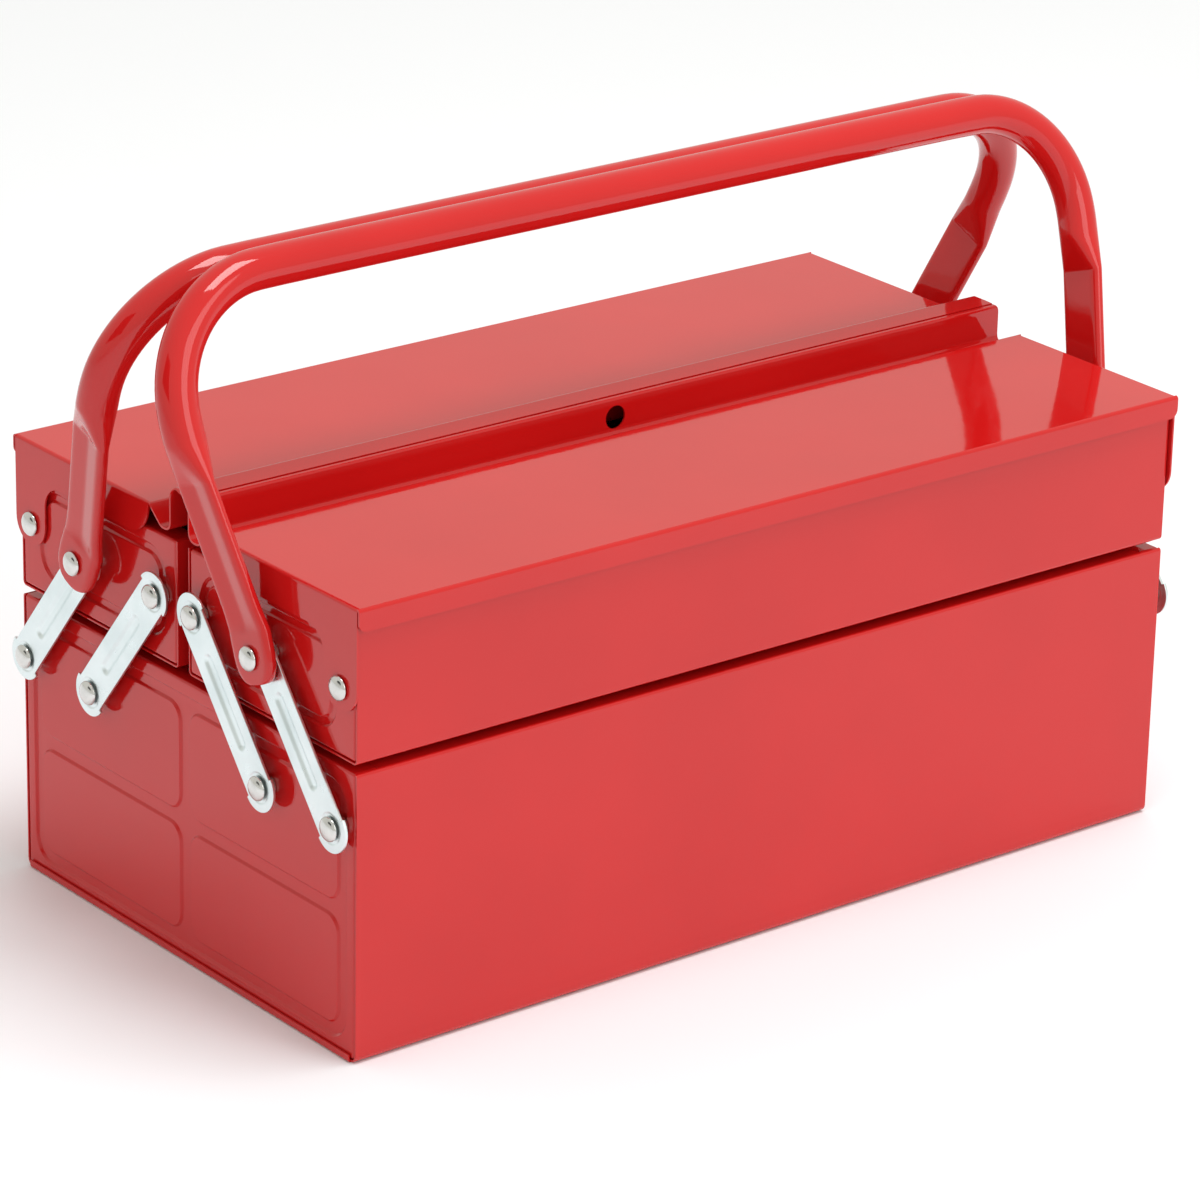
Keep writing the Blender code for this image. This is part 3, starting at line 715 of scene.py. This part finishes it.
def lid_path(side_name):
    """Corners of a lid's section from its outer flange to its lap or cap."""
    floor = lid_top - GUTTER_FLOOR
    ridge_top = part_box(f"{side_name}_lid")[1].z
    start_bend, floor_bend, ridge_bend = GUTTER_BENDS
    path = [(lid_outer, lid_top - LID_FLANGE, 0), (lid_outer, lid_top, LID_FOLD),
            (GUTTER_START, lid_top, start_bend), (RIDGE_HALF + GUTTER_WIDTH, floor, floor_bend),
            (RIDGE_HALF, floor, ridge_bend)]
    if side_name == "front":
        return path + [(RIDGE_HALF, ridge_top, LAP_BEND), (RIDGE_HALF - RIDGE_LAP, ridge_top, 0)]
    cap_edge = RIDGE_LAP + FIT_GAP - RIDGE_HALF
    return path + [(RIDGE_HALF, ridge_top, CAP_BEND), (cap_edge, ridge_top - CAP_FALL, 0)]


# %% [markdown]
# The flap starts as a plain strip. Its ear is pulled down from one end, the strip and the ear are
# merged into one face, and then each corner of that face can be rounded with its own radius.

# %% End flaps
FLAP_GAP = 0.0009           # between the flap and the start of the gutter
FLAP_LOW = 0.0145           # flap's lower edge below the lid's top
FLAP_ROUND = 0.0128         # its corner next to the ridge
EAR_WIDTH = 0.0203
EAR_ROUND = EAR_WIDTH * 0.49    # just under half, so that the two arcs don't meet
EAR_FILLET = 0.010
EAR_LOW = 0.0088            # ear's end below the lid rivet


def bend_flap(lid, side, end):
    """Bend the lid's flat down at one end, and shape the flap and its ear."""
    bend_x = end * (lid_end - LID_FOLD)
    flat_start = GUTTER_START + FLAP_GAP
    flat_stop = lid_outer - LID_FOLD
    low = lid_top - FLAP_LOW
    ear_end = pivots["rear_lid_open"].z - EAR_LOW
    ear_inner = flat_stop - EAR_WIDTH

    pick(lid, "FACE", lambda face: is_level(face, lid_top))
    bpy.ops.mesh.bisect(plane_co=(bend_x, 0, 0), plane_no=(1, 0, 0))
    pick(lid, "FACE", lambda face: is_level(face, lid_top) and end * middle(face).x > lid_end - LID_FOLD)
    bpy.ops.mesh.delete(type="FACE")
    pick(lid, "EDGE", lambda edge: at(edge, x=bend_x, z=lid_top)
         and flat_start < side * middle(edge).y < flat_stop)
    bpy.ops.mesh.spin(steps=BEND_STEPS, angle=-end * math.pi / 2, center=(bend_x, 0, lid_top - LID_FOLD),
                      axis=(0, 1, 0))
    push(z=low - (lid_top - LID_FOLD))
    merge_close()

    def on_flap(face):
        return at(face, x=end * lid_end) and middle(face).z < lid_top - LID_FOLD

    pick(lid, "FACE", on_flap)
    bpy.ops.mesh.bisect(plane_co=(0, side * ear_inner, 0), plane_no=(0, 1, 0))
    pick(lid, "EDGE", lambda edge: at(edge, x=end * lid_end, z=low) and side * middle(edge).y > ear_inner)
    push(z=ear_end - low)
    pick(lid, "FACE", on_flap)
    bpy.ops.mesh.dissolve_faces()
    inner = min(side * vert.co.y for vert in bmesh.from_edit_mesh(lid.data).verts
                if at(vert, x=end * lid_end, z=low))
    corners = [(inner, low, FLAP_ROUND), (ear_inner, low, EAR_FILLET), (ear_inner, ear_end, EAR_ROUND),
               (flat_stop, ear_end, EAR_ROUND)]
    for u, v, radius in corners:
        pick(lid, "VERT", lambda vert: at(vert, end * lid_end, side * u, v))
        round_corners(radius, 8)


# %% [markdown]
# The ends of the ridge are rounded as seen from the front. One block with two rounded corners trims
# them: what the lid has in common with the block stays.


# %% Make both lids
BLOCK_DEPTH = 0.3           # the block holds a whole lid
BLOCK_HEIGHT = 0.1
FLANGE_CORNER = 0.0036
LID_SOFTNESS = 0.00018
PADLOCK_RADIUS = 0.0048
PADLOCK_RISE = 0.0007       # of the padlock's hole over the lid's top
PADLOCK_CUT = 0.008         # length of the tool that makes the hole


def trim_block():
    """A block as long as a lid, with its two upper ends rounded."""
    deselect()
    bpy.ops.mesh.primitive_cube_add(size=1)
    block = bpy.context.object
    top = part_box("rear_lid")[1].z
    block.scale = (2 * lid_end, BLOCK_DEPTH, BLOCK_HEIGHT)
    block.location = (0, 0, top - BLOCK_HEIGHT / 2)
    freeze(block)
    edit(block)
    pick(block, "EDGE", lambda edge: at(edge, y=0, z=top))
    round_edges(RIDGE_ROUND, 8)
    close()
    return block


def make_lid(side_name):
    side = SIDES[side_name]
    lid = fold_sheet(f"{side_name}_lid_shell", side, lid_path(side_name), lid_end)
    edit(lid)
    for end in (-1, 1):
        bend_flap(lid, side, end)
        pick(lid, "VERT", lambda vert: at(vert, end * lid_end, side * lid_outer, lid_top - LID_FLANGE))
        round_corners(FLANGE_CORNER, 6)
    face_out(lid, (0, side * lid_outer / 2, lid_top), (0, 0, 1))
    close()
    thicken(lid)
    cut(lid, trim_block(), "INTERSECT")
    drill(lid, [(side * abs(pivots["rear_lid_open"].y), pivots["rear_lid_open"].z)])
    deselect()
    bpy.ops.mesh.primitive_cylinder_add(vertices=40, radius=PADLOCK_RADIUS, depth=PADLOCK_CUT,
                                        location=(0, side * RIDGE_HALF, lid_top + PADLOCK_RISE),
                                        rotation=(math.pi / 2, 0, 0))
    tool = bpy.context.object
    freeze(tool)
    cut(lid, tool)
    soften(lid, LID_SOFTNESS)
    hand_over(lid, f"{side_name}_lid", f"{side_name}_lid", ENAMEL)


for side_name in SIDES:
    make_lid(side_name)
    print(side_name, "lid", len(finished[-1].data.polygons), "faces")

# %% [markdown]
# ## The links
#
# A link is a strip of plated steel with round ends. Its long edges are folded towards the box, a
# long groove is pressed into its middle, and the punch has left a shallow ring around each rivet.
# The folds are spun like the lid's, from a strip whose sides are cut away first, because a fold on
# a real strip stops where its end is round.

# %% One link, lying along +Z at the right end
LINK_WIDTH = 0.019
LINK_PLATE = 0.0012
LINK_FLANGE = 0.0042        # depth of the folded edge, plate included
LINK_BEND = 0.0012
LINK_ROUND = 0.995          # of half the width: at 1 the two arcs of an end would meet
LINK_GROOVE = (0.0068, 0.040)
LINK_GROOVE_SLOPE = 0.0026
LINK_GROOVE_DEPTH = 0.0010
GROOVE_ROUND = 0.98         # of half the groove's width
RING_RADIUS = 0.0067
RING_SLOPE = 0.0012
RING_DEPTH = 0.00035
FLANGE_ROUND = 0.0028       # lower corners of the folded edges
LINK_SOFTNESS = 0.00025
link_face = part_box("rear_inner_link_right")[1].x
link_run = pivots["rear_tray_level"] - pivots["rear_fold"]
print("link from rivet to rivet", round(link_run.length, 4))


def link_ring(height):
    """A shallow round dish around a rivet."""
    deselect()
    bpy.ops.mesh.primitive_circle_add(vertices=32, radius=RING_RADIUS, fill_type="NGON",
                                      location=(link_face, 0, height), rotation=(0, math.pi / 2, 0))
    ring = bpy.context.object
    freeze(ring)
    edit(ring)
    bpy.ops.mesh.select_all(action="SELECT")
    step_in(soft_slope(RING_SLOPE, -RING_DEPTH))
    close()
    return ring


def make_link():
    """The right end's link, standing on its lower rivet."""
    half, length = LINK_WIDTH / 2, link_run.length
    fold = half - LINK_BEND
    plate = upright_plane("link", link_face, (-half, -half), (half, length + half))
    edit(plate)
    bpy.ops.mesh.select_all(action="SELECT")
    round_corners(half * LINK_ROUND, 12)
    merge_close(TINY_EDGE)
    for side in (-1, 1):
        bpy.ops.mesh.select_all(action="SELECT")
        bpy.ops.mesh.bisect(plane_co=(0, side * fold, 0), plane_no=(0, 1, 0))
    for height in (0, length):
        pick(plate, "FACE", lambda face: abs(middle(face).y) > fold)
        bpy.ops.mesh.bisect(plane_co=(0, 0, height), plane_no=(0, 0, 1))
    pick(plate, "FACE", lambda face: abs(middle(face).y) > fold
         and near(middle(face).z, length / 2, within=0.001))
    bpy.ops.mesh.delete(type="FACE")
    pick(plate, "FACE", lambda face: abs(middle(face).y) < fold)
    bpy.ops.mesh.delete(type="ONLY_FACE")
    close()
    wide, long = LINK_GROOVE
    low, high = (length - long) / 2, (length + long) / 2
    arc = wide / 2 * GROOVE_ROUND
    groove = stepped_patch("groove", link_face, (-wide / 2, low), (wide / 2, high),
                           ((low, arc), (high, arc)), soft_slope(LINK_GROOVE_SLOPE, -LINK_GROOVE_DEPTH))
    close()
    link = join([plate, groove, link_ring(0), link_ring(length)])
    edit(link)
    pick(link, "EDGE", lambda edge: is_open(edge) and abs(middle(edge).y) < fold + SAME_PLACE)
    bpy.ops.mesh.fill(use_beauty=True)
    face_out(link, (link_face, 0, -half), (1, 0, 0))
    for side in (-1, 1):
        pick(link, "EDGE", lambda edge: at(edge, y=side * fold, z=length / 2))
        bpy.ops.mesh.spin(steps=BEND_STEPS, angle=-side * math.pi / 2,
                          center=(link_face - LINK_BEND, side * fold, 0), axis=(0, 0, 1))
        push(x=LINK_BEND - LINK_FLANGE)
    pick(link, "VERT", lambda vert: at(vert, x=link_face - LINK_FLANGE))
    round_corners(FLANGE_ROUND, 4)
    face_out(link, (link_face, 0, -half), (1, 0, 0))
    close()
    thicken(link, LINK_PLATE)
    soften(link, LINK_SOFTNESS)
    return link


# %% [markdown]
# The same link serves eight times. Each copy is leaned about its lower rivet and moved to its
# pivot, and the two ends and the two sides of the box are mirror images.


# %% Place the eight links
def place_links():
    master = make_link()
    lean = math.atan2(link_run.y, link_run.z)
    for kind, joint in (("outer", "rear_fold"), ("inner", "rear_inner_link_turn")):
        leaned = copy_piece(master, f"{kind}_link")
        leaned.rotation_euler = (-lean, 0, 0)
        leaned.location = (0, pivots[joint].y, pivots[joint].z)
        freeze(leaned)
        for side_name, side in SIDES.items():
            for end_name, end in ENDS.items():
                node = f"{side_name}_{kind}_link_{end_name}"
                link = copy_piece(leaned, node + "_plate", x=end, y=side)
                hand_over(link, node, f"{side_name}_{kind}_links", ZINC)
        bpy.data.objects.remove(leaned)
    bpy.data.objects.remove(master)


place_links()
print("link", len(finished[-1].data.polygons), "faces")

# %% [markdown]
# ## The rivets
#
# A rivet is a turned shape. Its outline is drawn by extruding one vertex from point to point, and a
# full spin makes the solid. The dome is an arc, the collar under it keeps the link off the plate,
# and the tail is flattened inside the box.

# %% Draw and spin a rivet
PIN_RADIUS = 0.0025
COLLAR_RADIUS = 0.0042
DOME_STEPS = 7
HEAD_RIM = 0.0005           # straight side under the dome
HEAD_CHAMFER = 0.0003
TAIL_RADIUS = 0.0040
TAIL_HEIGHT = 0.0012
TAIL_CHAMFER = (0.0004, 0.0006)     # (height, radius)


def rivet_outline(top, bottom, collar):
    """(height along X, radius) points from the top of the dome to the end of the tail."""
    under = top - HEAD_HEIGHT
    dome = HEAD_HEIGHT - HEAD_RIM
    points = [(under + HEAD_RIM + dome * math.cos(angle), HEAD_RADIUS * math.sin(angle))
              for angle in (math.pi / 2 * step / DOME_STEPS for step in range(DOME_STEPS + 1))]
    points += [(under, HEAD_RADIUS - HEAD_CHAMFER), (under, PIN_RADIUS)]
    if collar:
        points += [(collar, PIN_RADIUS), (collar, COLLAR_RADIUS), (half_length + FIT_GAP, COLLAR_RADIUS),
                   (half_length + FIT_GAP, PIN_RADIUS)]
    tail = bottom + TAIL_HEIGHT
    chamfer_height, chamfer_radius = TAIL_CHAMFER
    return points + [(tail, PIN_RADIUS), (tail, TAIL_RADIUS), (bottom + chamfer_height, TAIL_RADIUS),
                     (bottom, TAIL_RADIUS - chamfer_radius), (bottom, 0)]


def spin_rivet(outline):
    """Draw an outline by extruding one vertex, and turn it about X."""
    deselect()
    bpy.ops.mesh.primitive_plane_add(size=0.001)
    rivet = bpy.context.object
    edit(rivet)
    bpy.ops.mesh.select_all(action="SELECT")
    bpy.ops.mesh.merge(type="CENTER")
    bpy.ops.transform.translate(value=(outline[0][0], 0, outline[0][1]))
    for (x, r), (next_x, next_r) in zip(outline, outline[1:]):
        push(x=next_x - x, z=next_r - r)
    bpy.ops.mesh.select_all(action="SELECT")
    bpy.ops.mesh.spin(steps=32, angle=2 * math.pi, center=(0, 0, 0), axis=(1, 0, 0))
    merge_close()
    bpy.ops.mesh.normals_make_consistent(inside=False)
    close()
    return rivet


# %% [markdown]
# The rivets differ only in how much they hold: a lid's ear, a link, or a link and a handle. The
# frame's boxes give where each head and tail ends.


# %% Place the rivets
def place_rivets():
    spots = {"outer_base": pivots["rear_fold"], "inner_base": pivots["rear_inner_link_turn"],
             "handle": pivots["rear_tray_level"], "inner_tray": inner_tray_pivot,
             "lid": pivots["rear_lid_open"]}
    for kind, spot in spots.items():
        low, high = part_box(f"rear_{kind}_rivet_right")
        collar = None if kind == "lid" else link_face - LINK_PLATE - FIT_GAP
        master = spin_rivet(rivet_outline(high.x, low.x, collar))
        master.location = (0, spot.y, spot.z)
        freeze(master)
        for side_name, side in SIDES.items():
            for end_name, end in ENDS.items():
                node = f"{side_name}_{kind}_rivet_{end_name}"
                rivet = copy_piece(master, node + "_turned", x=end, y=side)
                body = "base" if kind.endswith("base") else f"{side_name}_tray"
                hand_over(rivet, node, body, BRIGHT_STEEL)
        bpy.data.objects.remove(master)


place_rivets()
print("rivet", len(finished[-1].data.polygons), "faces")

# %% [markdown]
# ## The handles
#
# A handle is one bent tube whose ends are pressed flat for the rivets. Its section changes all the
# way: round at the grip, flat with a shallow valley on the legs, and thin at the lugs. It could be
# lofted over curves, but it is easier to see as a straight tube that is extruded ring by ring and
# then laid, ring by ring, on the handle's line. Flattening keeps the length of a tube's outline, so
# every section spaces its points evenly along its outline.

# %% The tube's section
RING = 32
TUBE_RADIUS = 0.008
LUG_WIDTH = 0.0245
LUG_THICKNESS = 0.005
LEG_WIDTH = 0.0218
VALLEY = 0.0014
CREASE_VALLEY = VALLEY * 0.7
VALLEY_FADE = 2.5           # the valley ends after 1 / 2.5 of the rounding


def section_point(share, half_width, half_thickness, dent):
    """A point of a flattened tube as (outwards, along the width).

    It lies a share of the outline round from the middle of the outer face, where a dent is deepest.
    """
    flat = half_width - half_thickness
    arc = math.pi * half_thickness
    s = share * (4 * flat + 2 * arc)
    if s <= flat or s >= 3 * flat + 2 * arc:
        w = s if s <= flat else s - (4 * flat + 2 * arc)
        return half_thickness - dent * max(0.0, 1 - abs(w) / max(flat, 1e-9)), w
    if s <= flat + arc:
        angle = (s - flat) / half_thickness
        return half_thickness * math.cos(angle), flat + half_thickness * math.sin(angle)
    if s <= 3 * flat + arc:
        return -half_thickness, 2 * flat + arc - s
    angle = (s - 3 * flat - arc) / half_thickness
    return -half_thickness * math.cos(angle), -flat - half_thickness * math.sin(angle)


# %% [markdown]
# The line of the handle is measured from its rivet: up the lug, outwards along the flat leg to the
# crease, and on as a round tube to the corner of the grip.

# %% The handle's line
LUG_END = 0.0105
LUG_LENGTH = 0.0100
CREASE_REACH = 0.067
CREASE_SPLAY = 0.0107
ROUNDING_LENGTH = 0.015     # from flat to round, past the crease
CORNER_SPLAY = 0.0163
CORNER_RADIUS = 0.046
CORNER_STEPS = 12
LUG_TIP = 0.30              # width of the lug's very end, as a share of the lug's
LUG_HALFWAY = 0.55          # a section partway up the lug
LEG_START = 7               # the leg has its own width after a seventh of its run
BEFORE_BEND = 0.0012        # sections this far before and after the lug's bend and before the crease
AFTER_BEND = 0.0014
BEFORE_CREASE = 0.0007
AT_BEND = (0.985, 0.15)     # shares of the lug's width and of the valley at its bend, and past it
PAST_BEND = (0.97, 0.6)
LUG_SHARES = (1.0, 0.93, 0.8, 0.6, 0.35)
LEG_SHARES = (0.06, 0.14, 0.3, 0.5, 0.7, 0.88, 0.96)
ROUNDING_SHARES = (0.05, 0.15, 0.3, 0.5, 0.7, 0.88, 1.0, 1.25)
GRIP_SHARES = (0.66, 0.33, 0.0)
lug_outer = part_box("rear_handle_rivet_right")[1].x - HEAD_HEIGHT - FIT_GAP
lug_middle = lug_outer - LUG_THICKNESS / 2
print("outer face of the lugs", round(lug_outer, 4))


def handle_line(reach):
    """Sections from the lug's end to the middle of the grip.

    Each is (x, reach, direction, half width, half thickness, valley).
    """
    lug = (LUG_WIDTH / 2, LUG_THICKNESS / 2)
    leg = (LEG_WIDTH / 2, LUG_THICKNESS / 2)
    up = Vector((0, 1))
    bend = Vector((lug_middle, LUG_LENGTH))
    crease = Vector((lug_middle + CREASE_SPLAY, CREASE_REACH))
    corner = Vector((lug_middle + CORNER_SPLAY, reach))
    slant = (crease - bend).normalized()
    rise = (corner - crease).normalized()
    line = []
    for share in LUG_SHARES:
        width = lug[0] * (LUG_TIP + (1 - LUG_TIP) * math.sqrt(1 - share * share))
        line.append((lug_middle, -LUG_END * share, up, width, lug[1], 0))
    line += [(lug_middle, 0.0, up, *lug, 0),
             (lug_middle, LUG_LENGTH * LUG_HALFWAY, up, *lug, 0),
             (*(bend - up * BEFORE_BEND), up, *lug, 0.0),
             (*bend, slant + up, lug[0] * AT_BEND[0], lug[1], VALLEY * AT_BEND[1]),
             (*(bend + slant * AFTER_BEND), slant, lug[0] * PAST_BEND[0], lug[1], VALLEY * PAST_BEND[1])]
    run = (crease - bend).length
    for share in LEG_SHARES:
        width = lug[0] + (leg[0] - lug[0]) * min(1, share * LEG_START)
        line.append((*(bend + slant * run * share), slant, width, leg[1], VALLEY))
    line += [(*(crease - slant * BEFORE_CREASE), slant, *leg, VALLEY),
             (*crease, slant + rise, *leg, CREASE_VALLEY)]
    for share in ROUNDING_SHARES:
        grown = min(1, share)
        width = leg[0] + (TUBE_RADIUS - leg[0]) * grown
        thick = leg[1] + (TUBE_RADIUS - leg[1]) * grown
        valley = CREASE_VALLEY * max(0, 1 - share * VALLEY_FADE)
        line.append((*(crease + rise * ROUNDING_LENGTH * share), rise, width, thick, valley))
    turn = rise.angle(Vector((-1, 0)))
    first = corner - rise * CORNER_RADIUS * math.tan(turn / 2)
    inwards = Vector((-rise.y, rise.x))
    centre = first + inwards * CORNER_RADIUS
    for step in range(CORNER_STEPS + 1):
        angle = turn * step / CORNER_STEPS
        heading = rise * math.cos(angle) + inwards * math.sin(angle)
        place = centre - (inwards * math.cos(angle) - rise * math.sin(angle)) * CORNER_RADIUS
        line.append((*place, heading, TUBE_RADIUS, TUBE_RADIUS, 0))
    for share in GRIP_SHARES:
        line.append((place.x * share, reach, Vector((-1, 0)), TUBE_RADIUS, TUBE_RADIUS, 0))
    return line


# %% Extrude the tube and lay it on its line
def make_handle(side_name):
    """Half a handle from its line, mirrored, rounded and leaned to its place."""
    side = SIDES[side_name]
    pivot = pivots[f"{side_name}_handle_swing"]
    low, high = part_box(f"{side_name}_handle")
    grip_y = (high.y if side < 0 else low.y) + side * TUBE_RADIUS
    grip = Vector((grip_y - pivot.y, high.z - TUBE_RADIUS - pivot.z))
    line = handle_line(grip.length)
    deselect()
    bpy.ops.mesh.primitive_circle_add(vertices=RING, radius=1, fill_type="NGON")
    handle = bpy.context.object
    handle.name = handle.data.name = f"{side_name}_tube_handle"
    edit(handle)
    bpy.ops.mesh.select_all(action="SELECT")
    for _ in line[1:]:
        push(z=1)
    bpy.ops.mesh.delete(type="ONLY_FACE")
    shape = bmesh.from_edit_mesh(handle.data)
    for vert in shape.verts:
        x, reach, heading, half_width, half_thickness, dent = line[round(vert.co.z)]
        share = (math.atan2(vert.co.y, vert.co.x) / (2 * math.pi)) % 1
        out, along = section_point(share, half_width, half_thickness, dent)
        outwards = Vector((heading[1], -heading[0])).normalized()
        vert.co = (x + outwards.x * out, along, reach + outwards.y * out)
    bmesh.update_edit_mesh(handle.data)
    bpy.ops.mesh.select_all(action="SELECT")
    bpy.ops.mesh.normals_make_consistent(inside=False)
    close()
    apply(handle, "other half", "MIRROR", merge_threshold=0.00001)
    apply(handle, "round", "SUBSURF", levels=1, render_levels=1)
    handle.rotation_euler = (math.atan2(-grip.x, grip.y), 0, 0)
    handle.location = pivot
    freeze(handle)
    drill(handle, [(pivot.y, pivot.z)])
    hand_over(handle, f"{side_name}_handle", f"{side_name}_handle", ENAMEL, smooth=40)


for side_name in SIDES:
    make_handle(side_name)
    print(side_name, "handle", len(finished[-1].data.polygons), "faces")

# %% [markdown]
# ## The studio
#
# A product like this is shot in a white room. The room does most of the work: the enamel mirrors it
# faintly everywhere and more at a glancing angle, which is what turns the deep red of the lids to a
# lighter one. One large soft light from above and one from the front give the faces different
# brightness, and the floor is plain white paper. The left end would mirror the room too. It could
# be lit less, but a black card, leaned above it out of view, is the usual way to hold a reflection
# back, and it leaves the other faces alone.

# %% Floor, room and lights
FLOOR_SIZE = 12
FLOOR_DROP = 0.0002         # keeps the floor clear of the box's bottom
CARD_LEAN = math.radians(65)
BOX_MIDDLE = Vector((0, 0, 0.1))


def stage_plane(name, size, place, lean, finish, colour):
    """A matt plane of the studio, leaned about Y."""
    deselect()
    bpy.ops.mesh.primitive_plane_add(size=size, location=place, rotation=(0, lean, 0))
    plane = bpy.context.object
    plane.name = name
    material, _, _, shader, _ = new_material(finish)
    shader.inputs["Base Color"].default_value = (*colour, 1)
    shader.inputs["Roughness"].default_value = 0.9
    plane.data.materials.append(material)


stage_plane("floor", FLOOR_SIZE, (0, 0, -FLOOR_DROP), 0, "white_paper", (0.92, 0.93, 0.97))

world = bpy.data.worlds.new("white_room")
bpy.context.scene.world = world
world.use_nodes = True
room = world.node_tree.nodes["Background"]
room.inputs["Color"].default_value = (1.0, 0.99, 0.92, 1)
room.inputs["Strength"].default_value = 0.74


def soft_light(name, place, size, power):
    """A square light that faces the box."""
    light = bpy.data.lights.new(name, "AREA")
    light.size = size
    light.energy = power
    lamp = bpy.data.objects.new(name, light)
    bpy.context.scene.collection.objects.link(lamp)
    lamp.location = place
    lamp.rotation_euler = (BOX_MIDDLE - Vector(place)).to_track_quat("-Z", "Y").to_euler()


soft_light("top_light", (0.3, -0.5, 2.6), 1.2, 34)
soft_light("front_light", (0.4, -2.8, 1.5), 1.8, 19)

stage_plane("black_card", 1.1, (-1.9, 0.15, 1.0), CARD_LEAN, "black_felt", (0.03, 0.03, 0.03))
bpy.context.scene.view_settings.view_transform = "Standard"
print("studio", [light.name for light in bpy.data.lights])

# %% [markdown]
# A wide lens close by would spread the box's near corner. The camera stands well back at the front
# left instead, above the lids, with a long lens, so that the long edges stay nearly parallel.

# %% Camera
AZIMUTH = math.radians(-38.71)
ELEVATION = math.radians(21.47)
ROLL = math.radians(1.30)
DISTANCE = 2.2248
MOVE_RIGHT = 0.00183        # sideways and up from the line to the box's foot, to centre the box
MOVE_UP = 0.09596
LENS = 164.94
SENSOR = 36
back = Vector((math.sin(AZIMUTH) * math.cos(ELEVATION), -math.cos(AZIMUTH) * math.cos(ELEVATION),
               math.sin(ELEVATION)))
right = Vector((0, 0, 1)).cross(back).normalized()
up = back.cross(right)
right, up = (right * math.cos(ROLL) + up * math.sin(ROLL), up * math.cos(ROLL) - right * math.sin(ROLL))
lens = bpy.data.cameras.new("camera")
lens.lens = LENS
lens.sensor_width = SENSOR
lens.clip_end = 50
camera = bpy.data.objects.new("camera", lens)
bpy.context.scene.collection.objects.link(camera)
camera.location = back * DISTANCE + right * MOVE_RIGHT + up * MOVE_UP
camera.rotation_euler = Matrix((right, up, back)).transposed().to_euler()
bpy.context.scene.camera = camera
print("camera", [round(value, 4) for value in camera.location])
